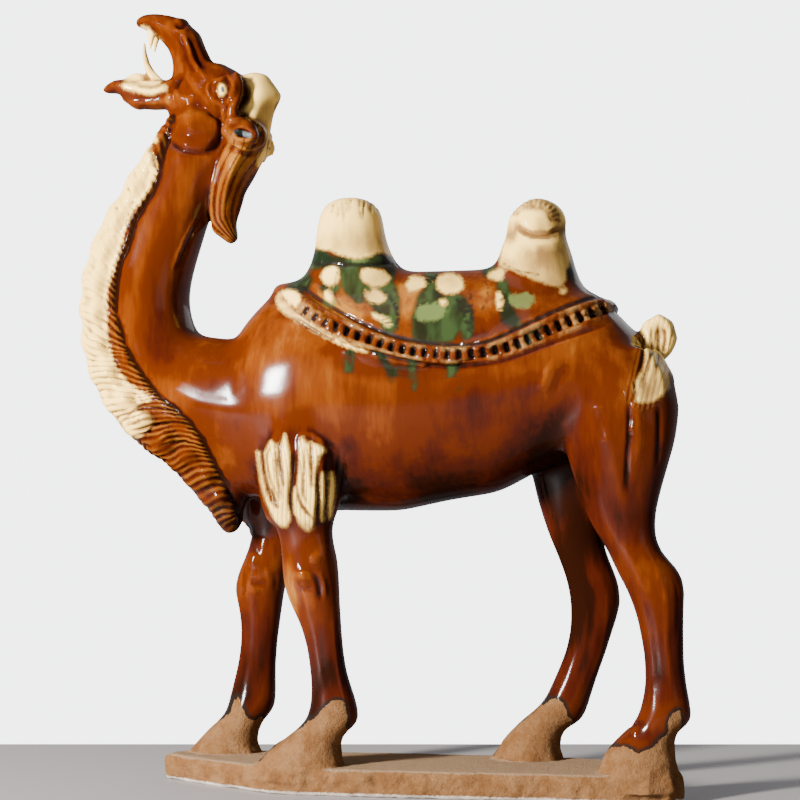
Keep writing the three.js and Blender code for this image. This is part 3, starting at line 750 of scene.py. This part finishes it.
# Glaze regions, as outlines and lines on the picture; the material softens and runs their edges
glaze = {
    "cream": [
        [(240, 73), (248, 71.5), (264, 72), (278, 79), (285, 88.5), (282, 98), (276, 107),
         (275, 127), (277, 147), (266, 166), (256, 166), (260, 153), (266, 140), (264, 128),
         (256, 121), (246, 115), (241, 110), (246, 104), (250, 97), (247, 84)],
        [(308, 254), (314, 225), (320, 203), (334, 190), (374, 190), (386, 208), (390, 240),
         (394, 256), (380, 253), (364, 258), (352, 258), (338, 254), (328, 250), (316, 252)],
        [(500, 266), (501, 252), (505, 225), (513, 203), (535, 186), (562, 203), (571, 225),
         (573, 250), (568, 269.5), (563, 285), (553, 286), (540, 282), (517, 272)],
        [(640, 330), (642.6, 320), (652, 306), (674, 306), (686, 325), (684, 344), (673, 355),
         (669, 368), (670, 384), (665, 392), (655, 400.5), (638.5, 402.5), (635, 395), (634, 385),
         (640.5, 372), (643.6, 361.5), (643.6, 341)],
        [(330, 265.5), (337, 267), (339, 277), (334, 285), (325, 284), (321, 275)],
        [(324, 292), (331, 291), (333, 298), (331, 303), (326, 300)],
        [(360, 272), (369, 268), (384, 271), (390, 278), (386, 284), (375, 287), (363, 282)],
        [(363, 289), (370, 293), (373.5, 287), (380.5, 291.6), (386, 297), (382, 303), (374, 304),
         (369, 301), (364, 295)],
        [(406, 284), (412, 276), (422, 277), (426, 284), (419, 290), (409, 291)],
        [(438, 277), (449, 273), (461, 277), (463.5, 287), (455, 294), (441, 292), (436, 285)],
        [(440, 300), (446, 300), (446.5, 307), (441, 305)],
        [(492, 271), (504, 268), (503, 279), (497, 281), (488, 277)],
        [(276, 298), (284, 290), (297, 291), (301, 300), (294, 309), (280, 308)],
        [(561, 288), (567, 288), (565, 294), (560, 293)],
        [(282, 304), (300, 314), (322, 330), (345, 341), (366, 349), (366, 353), (343, 346),
         (318, 334), (296, 321), (280, 310)],
        [(372, 313), (382, 316), (392, 322), (389, 327), (380, 321), (373, 318)],
        [(497, 292), (502, 294), (503, 304), (499, 312), (496, 303)],
    ],
    "ruff": [(128, 128), (158, 137), (149, 148), (155, 161), (156, 173), (149, 188), (139, 203),
             (131, 213), (126, 227), (122, 240), (118, 256), (113, 271), (108, 285), (106.5, 300),
             (106.5, 321), (108, 340), (111, 352), (115, 365), (123, 378), (135, 388), (147, 394),
             (150, 400), (140, 403), (136, 410), (149, 414), (153, 421), (149, 428), (143, 434),
             (134, 438), (90, 440), (55, 380), (55, 290), (85, 200)],
    "lip": [(125, 86), (133, 87.5), (144, 91), (154, 91.5), (163, 88)],
    "mouth": [(141, 26), (152, 30), (160, 40), (164, 50), (163, 78), (152, 89), (128, 84),
              (124, 76), (136, 70), (139, 50)],
    "eye": [(219, 84), (224, 83), (226.5, 89), (224, 95), (219.5, 96), (217.5, 90)],
    "lime": [
        [(353, 262), (358, 247), (368, 250), (366, 262)],
        [(510, 296), (528, 293), (535, 300), (528, 307), (513, 307)],
        [(420, 305), (440, 303), (447, 312), (438, 321), (422, 321), (416, 313)],
        [(372, 313), (390, 318), (394, 326), (384, 327)],
        [(326, 298), (336, 301), (332, 308), (324, 304)],
    ],
    "green": [
        [(311, 268), (313, 248), (322, 248), (330, 255), (345, 258), (356, 252), (366, 250),
         (380, 255), (392, 258), (400, 266), (380, 267), (345, 267)],
        [(340, 266), (356, 267), (360, 276), (364, 290), (360, 302), (352, 296), (345, 290),
         (341, 278)],
        [(366, 286), (390, 282), (399, 300), (399, 316), (397, 330), (388, 333), (380, 322),
         (372, 306)],
        [(388, 268), (394, 270), (392, 284), (384, 292)],
        [(431, 281), (424, 290), (419, 299), (415, 312), (413, 326), (418, 341), (450, 340),
         (458, 330), (466, 326), (467, 312), (462, 298), (455, 294), (444, 296)],
        [(425, 276), (436, 272), (440, 290), (430, 296)],
        [(458, 292), (466, 300), (472, 318), (472, 334), (464, 338), (458, 316)],
        [(484, 268), (494, 266), (492, 276), (484, 274)],
        [(499, 281), (507, 284), (510, 300), (516, 314), (519, 327), (508, 326), (502, 316),
         (501, 300)],
        [(520, 346), (530, 332), (540, 326), (546, 330), (545, 338), (534, 345), (526, 348)],
        [(286, 290), (296, 280), (308, 274), (310, 284), (300, 294)],
        [(566, 261), (574, 258), (577, 274), (569, 277)],
        [(322, 284), (338, 284), (336, 292), (322, 292)],
    ],
    "greenLines": [
        ([(376, 350), (383, 358), (389, 368), (394, 380)], 2.0),
        ([(411.5, 358), (412.5, 375), (412.5, 388)], 3.2),
        ([(392, 371), (402, 368), (412, 367)], 0.9),
        ([(453, 366), (454, 380), (454, 396)], 4.6),
        ([(350, 352), (349, 362), (348, 374)], 3.0),
    ],
    "darkLines": [
        (clothEdge, 1.5),
        ([(483.6, 277), (488, 293), (482, 310), (473, 321), (474, 336)], 0.7),
        ([(338, 268), (335, 285), (336, 298), (341, 306)], 0.6),
        ([(504, 264), (519.5, 271), (540, 274.6)], 0.8),
        ([(316, 264), (340, 264), (372, 264.5), (396, 262)], 1.5),
        ([(470, 294), (472, 312), (470, 330)], 1.6),
        ([(456, 298), (463, 312), (468, 330)], 1.4),
        ([(372, 351), (400, 359), (420, 363)], 0.8),
        ([(390, 296), (397, 310), (397, 328)], 2.0),
        ([(501, 320), (510, 328)], 1.6),
        ([(568, 270), (573, 274)], 1.6),
    ],
    "blackGreen": [(312, 249), (320, 248), (330, 256), (333, 264), (312, 266)],
    # a dark line where the ruff lies against the neck, dark glaze in the joint and painted shade:
    # half width and strength
    "seam": (3.4, 2.2),
    # slate grey wells: the pupil, the mouth of the ear, under the lower lip
    "greyLines": [
        ([(222.4, 88.3), (222.9, 91)], 1.7),
        ([(236.5, 132), (243, 133.5), (249.5, 135.5)], 2.6),
        ([(104, 93.5), (111, 94.5), (119, 95)], 1.1),
    ],
    # the crown's cream where it is seen past the near side
    "pastCrown": [(268, 112), (292, 112), (292, 160), (268, 166), (262, 150)],
    # where hollows hardly colour the glaze: middle, half sizes and amount
    "even": [(197, 126, 24, 17, 0.85)],
    # places with less shine
    "dull": [(126, 310, 24, 80, 1.0), (146, 368, 40, 30, 1.0), (172, 380, 24, 22, 1.0),
             (284, 428, 12, 16, 1.0), (345, 346, 44, 12, 0.9), (588, 470, 18, 80, 0.95),
             (305, 428, 12, 12, 0.9), (165, 45, 26, 40, 0.9), (200, 118, 34, 14, 0.85),
             (190, 75, 50, 50, 0.75), (100, 300, 24, 90, 0.6), (215, 350, 50, 16, 0.9),
             (185, 440, 60, 60, 0.8), (455, 300, 90, 26, 0.5), (575, 570, 44, 110, 0.9),
             (440, 480, 150, 34, 0.45), (230, 190, 14, 40, 0.8), (250, 640, 40, 80, 0.5),
             (650, 600, 40, 90, 0.45), (535, 235, 40, 50, 0.6)],
    # places where the cream is darker and more yellow: mostly the glaze's own colour, and on the
    # tail painted shade
    "warmthAndShade": [(545, 245, 36, 70, 1.05), (652, 370, 26, 50, 0.7), (262, 110, 28, 60, 0.55),
               (310, 322, 40, 16, 0.9), (145, 422, 20, 22, 0.95), (264, 490, 9, 44, 0.6),
               (300, 527, 44, 9, 0.8), (350, 250, 40, 26, 0.35), (350, 220, 40, 40, 0.25),
               (297, 490, 50, 60, 0.25), (140, 420, 30, 30, 0.5), (540, 212, 30, 20, 0.55),
               (140, 90, 40, 14, 0.3), (440, 285, 120, 30, 0.3), (150, 60, 20, 30, 0.45)],
    # places lighter (+) or darker (-) than the rest: the glaze's own tone, and painted light and
    # shade, such as the darker belly, far legs and back of the thigh and the lighter shoulder
    "tonesAndShade": [
        (440, 490, 160, 34, -1.3), (480, 430, 120, 46, -0.75), (320, 330, 60, 24, 0.45),
        (250, 350, 40, 40, 0.2), (440, 372, 160, 12, 0.3), (575, 350, 45, 40, 0.25),
        (350, 400, 60, 40, 0.05), (545, 380, 30, 26, 0.35), (130, 260, 14, 60, -0.5),
        (190, 110, 22, 16, 0.45), (165, 45, 22, 30, 0.3), (205, 330, 70, 30, -0.15),
        (234, 190, 9, 44, 1.1), (250, 158, 15, 24, 1.2), (250, 128, 16, 12, -0.2),
        (218, 190, 6, 50, -0.5), (222, 240, 12, 12, -0.5), (237, 234, 9, 10, -1.8),
        (197, 146, 24, 7, -0.6), (165, 395, 30, 18, 0.5), (125, 350, 14, 34, 0.8),
        (180, 440, 40, 24, -0.1), (205, 500, 36, 30, -0.45), (330, 300, 30, 22, 0.55),
        (405, 310, 14, 30, 0.5), (488, 305, 12, 34, 0.45), (540, 295, 28, 16, 0.5),
        (420, 300, 90, 24, 0.8), (345, 300, 30, 20, 0.3), (572, 440, 14, 44, 0.9),
        (600, 420, 30, 50, 0.25), (300, 560, 26, 30, 0.15), (320, 690, 34, 50, -0.45),
        (235, 690, 26, 44, -0.6), (290, 596, 9, 26, 0.5), (635, 640, 30, 90, -0.15),
        (565, 560, 40, 120, -2.1), (610, 440, 26, 60, -0.2), (662, 450, 16, 110, -0.9),
        (590, 460, 26, 60, -0.15), (642, 556, 26, 20, 0.5), (337, 616, 5, 14, 0.7),
        (255, 480, 12, 40, -0.6), (677, 716, 5, 7, 0.9), (632, 390, 6, 14, 0.9),
        (150, 100, 24, 12, 0.4), (240, 95, 6, 14, -0.2), (250, 98, 5, 14, -0.9),
        (340, 480, 12, 40, -0.3), (512, 262, 8, 6, 0.6), (226, 522, 18, 26, -0.9),
        (190, 430, 44, 44, -0.6), (160, 330, 26, 50, -0.3), (212, 400, 30, 20, -0.3),
        (600, 485, 26, 40, 0.3), (642, 620, 26, 70, 0.3), (350, 447, 12, 30, -0.6),
    ],
}


normals = readVectors(mesh.vertex_normals, "vector")
web = neighbours(mesh)
u, v = picturePlace(points)
high = points[:, 2] > body["mirrorAbove"]
shown = high & (outward(points, normals) > 0.3)


def strokeDepth(line, width):
    return width - beside(u, v, curve(line, 5))[0]


def strokesDepth(strokes):
    return np.maximum.reduce([strokeDepth(*stroke) for stroke in strokes])


def lifted(values):
    return np.where(shown, values, outside)


# Soft round places, each as strong at every point as its amount and the distance make it
def blots(name):
    return [amount * np.exp(-((u - x) / wide) ** 2 - ((v - y) / tall) ** 2)
            for x, y, wide, tall, amount in glaze[name]]


# How far a place lies below its surroundings, in millimetres, less the plain roundness there
def hollowness(rounds, soften, wide):
    sunk = spread(web, np.einsum("ij,ij->i", spread(web, points, rounds) - points, normals), soften)
    return sunk - spread(web, sunk, wide)


inner, phase, gain = ruffStrands(u, v, points)
ruffCream = np.minimum(depthIn(u, v, glaze["ruff"], 3), inner - 0.5)
ruffCream = np.where(inner > -25, ruffCream + 2.6 * (ridges(phase) - 0.55), outside)
tuftCream = deepest(u, v, tuft["cream"])
for line, width in tuft["grooves"]:
    tuftCream = np.minimum(tuftCream, beside(u, v, curve(line, 4))[0] - width * 0.9)
cream = np.maximum.reduce([deepest(u, v, glaze["cream"]), ruffCream, tuftCream,
                           strokeDepth(glaze["lip"], 3.4), depthIn(u, v, glaze["eye"])])
mouthCream = np.where(high, depthIn(u, v, glaze["mouth"]), outside)
cream = np.maximum(lifted(cream), mouthCream)
pastCrown = depthIn(*pixels(points), glaze["pastCrown"])
cream = np.where(points[:, 1] > 3, np.maximum(cream, pastCrown), cream)

green = np.maximum(deepest(u, v, glaze["green"]), strokesDepth(glaze["greenLines"]))
gap, run, length, beat = bandBeat(u, v)
pits = np.minimum((beat - 0.3) * 5, 4.6 - gap)
pits = np.where((run > 8) & (run < length - 50), pits, outside)
dark = np.maximum(np.maximum(strokesDepth(glaze["darkLines"]), pits), outside)

# the tones with their painted light and shade, and painted shade darkening the glaze towards the
# bottom, below 120 mm
toneAndShade = sum(blots("tonesAndShade")) - 0.35 * smoothStep(120, 60, points[:, 2])
width, strength = glaze["seam"]
# painted shade along the ruff's inner edge, with the dark glaze of the joint
seam = strokeDepth(ruffBack, width) + 1.3 * waves(points, 9, 11)
toneAndShade -= strength * smoothStep(-1.5, 1.5, seam) * shown

# the pleats: cream and amber where they stand out, by how far they are along the band
share = run / length
whitish = smoothStep(0.10, 0.02, share) + smoothStep(0.80, 0.88, share)
whitish += 0.7 * smoothStep(0.05, 0.0, np.abs(share - 0.70))
pleat = np.where(gap < 5.6, smoothStep(0.3, -0.5, beat), 0.0)
ribbon = strokeDepth(cloth["strokes"][1][0], 2.6)
lowerLip = strokeDepth(cloth["strokes"][3][0], 1.8)
edging = smoothStep(-0.8, 0.8, np.maximum(ribbon, lowerLip))
onBand = shown * smoothStep(-2, 4, run) * (gap < 18)

# strands of hair in the glaze, by the part that a place is on
onLock = smoothStep(-1.5, 2.5, depthIn(u, v, areas["crest"]))
onTail = smoothStep(-1.0, 1.5, depthIn(u, v, areas["tail"]))
onRuff = smoothStep(-1.0, 1.0, inner) * np.clip(gain + 0.15, 0, 1) * 0.85
onTuft = smoothStep(-1.0, 1.0, tuftCream) * 0.8
lockPhase = acrossLock(u, v) * hair["lockStrands"] * 1.5
tailPhase = (u * 0.9 + v * 0.2) / hair["tailPitch"]
tuftPhase = (u - 0.06 * v + 2 * np.sin(v / 16)) / hair["tuftPitch"]
strandPhase = np.where(inner > -6, phase, 0.0)
for part, partPhase in ((onLock, lockPhase), (onTail, tailPhase), (onTuft, tuftPhase)):
    strandPhase = np.where(part > 0.02, partPhase, strandPhase)

even = 1 - blots("even")[0]
attributes = {
    "cream": cream,
    "green": lifted(green),
    "lime": lifted(deepest(u, v, glaze["lime"])),
    "dark": lifted(dark),
    "grey": lifted(strokesDepth(glaze["greyLines"])),
    "blackGreen": lifted(depthIn(u, v, glaze["blackGreen"])),
    "bare": bareDepth(points),
    "hollow": np.clip(hollowness(3, 1, 30), -1.0, 1.0) * even,
    # the wide creases: glaze pooled there and painted shade
    "wideHollowShade": np.clip(hollowness(22, 3, 90), -2.0, 2.0) * even,
    "warmthAndShade": np.maximum.reduce(blots("warmthAndShade")),
    "dull": smoothStep(0.0, 0.75, np.maximum.reduce(blots("dull"))),
    "onTop": smoothStep(0.7, 0.9, normals[:, 2]) * (points[:, 2] < 30),
    "toneAndShade": toneAndShade,
    "pleatLight": pleat * whitish * shown,
    "pleatAmber": np.maximum(pleat, edging) * onBand,
    "pleatEdge": edging * onBand,
    "strandPhase": strandPhase,
    "strandOn": np.maximum.reduce([onRuff, onLock * 0.9, onTail * 0.5, onTuft]) * shown,
}
for name, values in attributes.items():
    layer = mesh.attributes.new(name, "FLOAT", "POINT")
    layer.data.foreach_set("value", values.astype(np.float32))
print("glaze regions placed")

# Glaze and clay
colours = {
    "amber": (0.066, 0.0100, 0.0009),
    "light": (0.120, 0.025, 0.0022),
    "honey": (0.27, 0.100, 0.013),
    "deep": (0.013, 0.0030, 0.0012),
    "maroon": (0.040, 0.0055, 0.0018),
    "cream": (0.95, 0.61, 0.145),
    "creamWarm": (0.24, 0.125, 0.036),
    "creamStain": (0.11, 0.042, 0.008),
    "slabTop": (0.29, 0.185, 0.105),
    "green": (0.022, 0.044, 0.013),
    "greenDeep": (0.006, 0.011, 0.0045),
    "lime": (0.105, 0.14, 0.038),
    "dark": (0.010, 0.008, 0.006),
    "grey": (0.075, 0.085, 0.085),
    "clay": (0.130, 0.055, 0.019),
    "clayLight": (0.19, 0.095, 0.040),
    "clayDark": (0.075, 0.034, 0.014),
    "slabEdge": (0.62, 0.55, 0.46),
}
look = {
    "cloudSize": 14.0,  # noise scales, per metre
    "runSize": 60.0,
    "fineSize": 420.0,
    "grainSize": 1500.0,
    "clayBump": 0.9,
    "glazeBump": 0.025,
    "bumpDepth": 0.0011,
    "strandBump": 0.6,
    "strandDepth": 0.0005,
    "gloss": 0.5,
    "coatRough": 0.125,
    "coatIor": 1.38,
    "ior": 1.45,
    "glazeRough": 0.4,
    "clayRougher": 0.55,  # how much rougher the clay is
}

pottery = bpy.data.materials.new("glazedPottery")
pottery.use_nodes = True
tree = pottery.node_tree
tree.nodes.clear()


def add(kind, **settings):
    made = tree.nodes.new("ShaderNode" + kind)
    for key, value in settings.items():
        setattr(made, key, value)
    return made


# Links a socket to another, or sets it to a number, a colour or a named colour
def put(socket, value):
    if isinstance(value, str):
        value = colours[value]
    if isinstance(value, bpy.types.NodeSocket):
        tree.links.new(value, socket)
    elif isinstance(value, tuple) and len(value) == 3 and len(socket.default_value) == 4:
        socket.default_value = (*value, 1.0)
    else:
        socket.default_value = value


def calc(operation, a, b=0.0, c=0.0):
    made = add("Math", operation=operation)
    for socket, value in zip(made.inputs, (a, b, c)):
        put(socket, value)
    return made.outputs[0]


def plus(*terms):
    total = terms[0]
    for term in terms[1:]:
        total = calc("ADD", total, term)
    return total


def times(a, b):
    return calc("MULTIPLY", a, b)


def mixed(share, a, b):
    made = add("Mix", data_type="RGBA")
    put(made.inputs[0], share)
    put(made.inputs[6], a)
    put(made.inputs[7], b)
    return made.outputs[2]


def eased(low, high, value):
    made = add("MapRange", interpolation_type="SMOOTHSTEP")
    put(made.inputs["Value"], value)
    put(made.inputs["From Min"], low)
    put(made.inputs["From Max"], high)
    return made.outputs["Result"]


def stored(name):
    return add("Attribute", attribute_name=name).outputs["Fac"]


def noise(place, scale, detail=3.0, rough=0.5):
    made = add("TexNoise")
    values = (place, scale, detail, rough)
    for name, value in zip(("Vector", "Scale", "Detail", "Roughness"), values):
        put(made.inputs[name], value)
    return made.outputs[0]


# A named colour laid over another where a value passes from low to high
def laid(base, name, low, high, value, amount=1.0):
    share = eased(low, high, value)
    return mixed(share if amount == 1.0 else times(share, amount), base, name)


# noise between about -amount and amount
def sway(value, amount):
    return calc("MULTIPLY_ADD", value, 4.0 * amount, -2.0 * amount)


place = add("TexCoord").outputs["Object"]
drawn = add("Mapping")
put(drawn.inputs["Vector"], place)
put(drawn.inputs["Scale"], (1.0, 1.0, 0.2))
runPlace = drawn.outputs[0]
clouds = noise(place, look["cloudSize"], 3.0)
runs = noise(runPlace, look["runSize"], 4.0, 0.6)
runsFine = noise(runPlace, look["runSize"] * 4, 3.0, 0.55)
fine = noise(place, look["fineSize"], 3.0, 0.6)
speck = noise(place, look["grainSize"], 2.0, 0.6)
sunk, sunkWideShade = stored("hollow"), stored("wideHollowShade")

# strands of hair: dark between them, light on top
strandTurn = times(plus(stored("strandPhase"), sway(fine, 0.10)), math.pi)
strandWave = calc("ABSOLUTE", calc("SINE", strandTurn))
strandShow = stored("strandOn")
strandDark = times(eased(0.38, 0.05, strandWave), strandShow)
strandLight = times(eased(0.6, 0.98, strandWave), strandShow)

# amber: thin and light on the edges, thick and dark in the hollows, run down in streaks; the wide
# creases are darker still, glaze pooled there and painted shade, and the tone adds painted light
# and shade
pooled = calc("MINIMUM", plus(times(sunk, -2.0), times(sunkWideShade, -0.7)), 0.45)
toneShadeSum = plus(stored("toneAndShade"), sway(clouds, 0.48), sway(runs, 0.50), sway(runsFine, 0.14), pooled)
amber = mixed(eased(0.0, 0.9, toneShadeSum), "amber", "light")
amber = laid(amber, "honey", 0.75, 1.8, toneShadeSum)
amber = laid(amber, "maroon", -0.15, -0.95, toneShadeSum)
amber = laid(amber, "deep", -0.8, -1.7, toneShadeSum)
amber = mixed(times(strandLight, 0.45), amber, "honey")
amber = mixed(times(strandDark, 0.85), amber, "deep")

# cream: warm in the hollows, stained where the amber runs into it; darker on the tail as painted
# shade, and in the wide creases as glaze pooled there and painted shade
creamEdge = plus(stored("cream"), sway(fine, 0.8), sway(runsFine, 1.2))
warmAndShaded = plus(times(sunk, 2.4), times(sunkWideShade, 0.2), sway(clouds, 0.3), sway(runs, 0.3),
            stored("warmthAndShade"))
creamColour = mixed(eased(-0.1, 1.2, warmAndShaded), "cream", "creamWarm")
creamColour = laid(creamColour, "creamStain", 0.16, 0.5, sunk, 0.85)
creamColour = mixed(times(strandDark, 0.85), creamColour, "creamStain")
creamColour = laid(creamColour, "creamStain", 2.6, 0.0, creamEdge, 0.6)
creamShare = eased(-2.3, 1.4, creamEdge)

greenEdge = plus(stored("green"), sway(runs, 2.6), sway(runsFine, 0.8))
greenRuns = eased(0.40, 0.60, noise(runPlace, 75.0, 2.0))
greenColour = mixed(greenRuns, "green", "greenDeep")
greenColour = laid(greenColour, "greenDeep", 2.4, -2.2, greenEdge, 0.85)
limeShare = times(eased(-2.5, 2.5, plus(stored("lime"), sway(runsFine, 3.0))), 0.8)
colour = mixed(times(eased(-4.5, 1.6, greenEdge), 0.94), amber, greenColour)
colour = mixed(limeShare, colour, "lime")
pleatTone = mixed(eased(0.35, 0.65, runsFine), "amber", "light")
colour = mixed(times(stored("pleatAmber"), 0.92), colour, pleatTone)
edgeShare = times(times(stored("pleatEdge"), eased(0.42, 0.62, runs)), 0.75)
colour = mixed(edgeShare, colour, "creamWarm")
colour = mixed(creamShare, colour, creamColour)
colour = mixed(times(stored("pleatLight"), 0.85), colour, "creamWarm")
colour = laid(colour, "greenDeep", -2.0, 3.0, stored("blackGreen"), 0.95)
darkEdge = plus(stored("dark"), sway(runsFine, 0.6))
colour = laid(colour, "dark", -1.8, 1.3, darkEdge, 0.85)
colour = laid(colour, "grey", -0.6, 0.5, stored("grey"))
colour = laid(colour, "deep", 0.72, 0.80, speck, 0.6)

# bare clay at the feet and slab, with a dark bead where the glaze ends
bareEdge = plus(stored("bare"), sway(fine, 0.9), sway(noise(place, 120.0), 1.6))
bareShare = eased(-0.4, 0.4, bareEdge)
colour = laid(colour, "dark", -5.5, -1.2, bareEdge, 0.88)
clay = mixed(eased(0.3, 0.7, noise(place, 90.0, 5.0, 0.65)), "clay", "clayLight")
clay = mixed(times(stored("onTop"), 0.9), clay, "slabTop")
# painted shade: the bare clay darker in its hollows
clay = laid(clay, "clayDark", 0.05, 0.7, sunk, 0.7)
clay = laid(clay, "clayDark", 0.52, 0.7, speck, 0.7)
axis = add("SeparateXYZ")
put(axis.inputs[0], place)
clay = laid(clay, "slabEdge", 0.0032, 0.0016, plus(axis.outputs["Z"], sway(fine, 0.0006)), 0.75)
colour = mixed(bareShare, colour, clay)

shader = add("BsdfPrincipled")
put(shader.inputs["Base Color"], colour)
rough = calc("MULTIPLY_ADD", bareShare, look["clayRougher"], look["glazeRough"])
put(shader.inputs["Roughness"], rough)
glossy = times(calc("SUBTRACT", 1.0, bareShare), calc("SUBTRACT", 1.0, stored("dull")))
put(shader.inputs["Coat Weight"], times(glossy, look["gloss"]))
shader.inputs["Coat Roughness"].default_value = look["coatRough"]
shader.inputs["Coat IOR"].default_value = look["coatIor"]
shader.inputs["IOR"].default_value = look["ior"]
shader.inputs["Specular IOR Level"].default_value = 0.0
bump = add("Bump")
bump.inputs["Distance"].default_value = look["bumpDepth"]
put(bump.inputs["Strength"], calc("MULTIPLY_ADD", bareShare, look["clayBump"], look["glazeBump"]))
put(bump.inputs["Height"], plus(fine, times(speck, 0.6)))
strandBump = add("Bump")
strandBump.inputs["Distance"].default_value = look["strandDepth"]
put(strandBump.inputs["Strength"], times(strandShow, look["strandBump"]))
put(strandBump.inputs["Height"], strandWave)
put(strandBump.inputs["Normal"], bump.outputs[0])
put(shader.inputs["Normal"], strandBump.outputs[0])
put(shader.inputs["Coat Normal"], strandBump.outputs[0])
output = add("OutputMaterial")
put(output.inputs["Surface"], shader.outputs[0])

shell.name = "camel"
mesh.name = "camel"
mesh.materials.clear()
mesh.materials.append(pottery)
mesh.polygons.foreach_set("use_smooth", np.ones(len(mesh.polygons), bool))
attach(shell, "root")
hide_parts("sancai_camel")
print("camel finished")

# Floor, light and camera
studio = {
    "floor": (0.30, 0.27, 0.262),
    "floorBack": 0.235,  # how far the floor runs on behind the middle of the figure
    "floorHalf": 3.0,
    "floorRough": 0.6,
    "wall": (4.6, 4.65, 4.85),  # what the camera sees behind the figure
    "dim": (0.15, 0.155, 0.165),  # light from the front and sides
    "behind": (0.5, 0.52, 0.56),  # light from the pale wall behind
    "lights": [  # name, place, aim, width, height and power
        ("key", (-1.14, -1.44, 0.64), (0.0, 0.0, 0.30), 0.17, 0.42, 180.0),
        ("top", (-0.5, -0.35, 2.1), (0.0, 0.0, 0.30), 1.2, 0.8, 6.0),
        ("fill", (1.5, -1.5, 0.7), (0.0, 0.0, 0.25), 0.8, 0.9, 2.5),
        ("rear", (0.9, 1.9, 1.3), (0.0, 0.0, 0.25), 1.2, 1.0, 6.0),
    ],
}
floorMesh = bpy.data.meshes.new("floor")
floorForm = bmesh.new()
bmesh.ops.create_grid(floorForm, x_segments=1, y_segments=1, size=studio["floorHalf"])
floorShift = (0, studio["floorBack"] - studio["floorHalf"], 0)
bmesh.ops.translate(floorForm, verts=floorForm.verts, vec=floorShift)
bmesh.ops.rotate(floorForm, verts=floorForm.verts, matrix=Matrix.Rotation(turn, 3, "Z"))
floorForm.to_mesh(floorMesh)
floorForm.free()
floor = placed("floor", floorMesh)
floorMaterial = bpy.data.materials.new("paleFloor")
floorMaterial.use_nodes = True
floorShader = floorMaterial.node_tree.nodes["Principled BSDF"]
floorShader.inputs["Base Color"].default_value = (*studio["floor"], 1.0)
floorShader.inputs["Roughness"].default_value = studio["floorRough"]
floorMesh.materials.append(floorMaterial)

# The camera sees a pale wall; what lights the figure is dimmer, and brighter from behind
world = bpy.data.worlds.new("wall")
world.use_nodes = True
tree = world.node_tree
tree.nodes.clear()
way = add("SeparateXYZ")
put(way.inputs[0], add("TexCoord").outputs["Generated"])
around = mixed(eased(0.1, 0.8, way.outputs["Y"]), studio["dim"], studio["behind"])
seen = mixed(add("LightPath").outputs["Is Camera Ray"], around, studio["wall"])
sky = add("Background")
put(sky.inputs["Color"], seen)
put(add("OutputWorld").inputs["Surface"], sky.outputs[0])
bpy.context.scene.world = world
for name, spot, target, wide, tall, power in studio["lights"]:
    lamp = bpy.data.lights.new(name, "AREA")
    lamp.shape = "RECTANGLE"
    lamp.size, lamp.size_y, lamp.energy = wide, tall, power
    lampObject = placed(name, lamp)
    lampObject.location = spot
    lampObject.rotation_euler = (Vector(target) - Vector(spot)).to_track_quat("-Z", "Y").to_euler()

cameraData = bpy.data.cameras.new("camera")
cameraData.sensor_width = cameraData.sensor_height = view["sensor"]
cameraData.sensor_fit = "HORIZONTAL"
cameraData.lens = view["focal"] / view["picture"] * view["sensor"]
camera = placed("camera", cameraData)
axes = Matrix((rightAxis, upAxis, -aimAxis)).transposed().to_4x4()
camera.matrix_world = Matrix.Translation(Vector(view["place"]) / 1000) @ axes
bpy.context.scene.camera = camera
print("studio set")
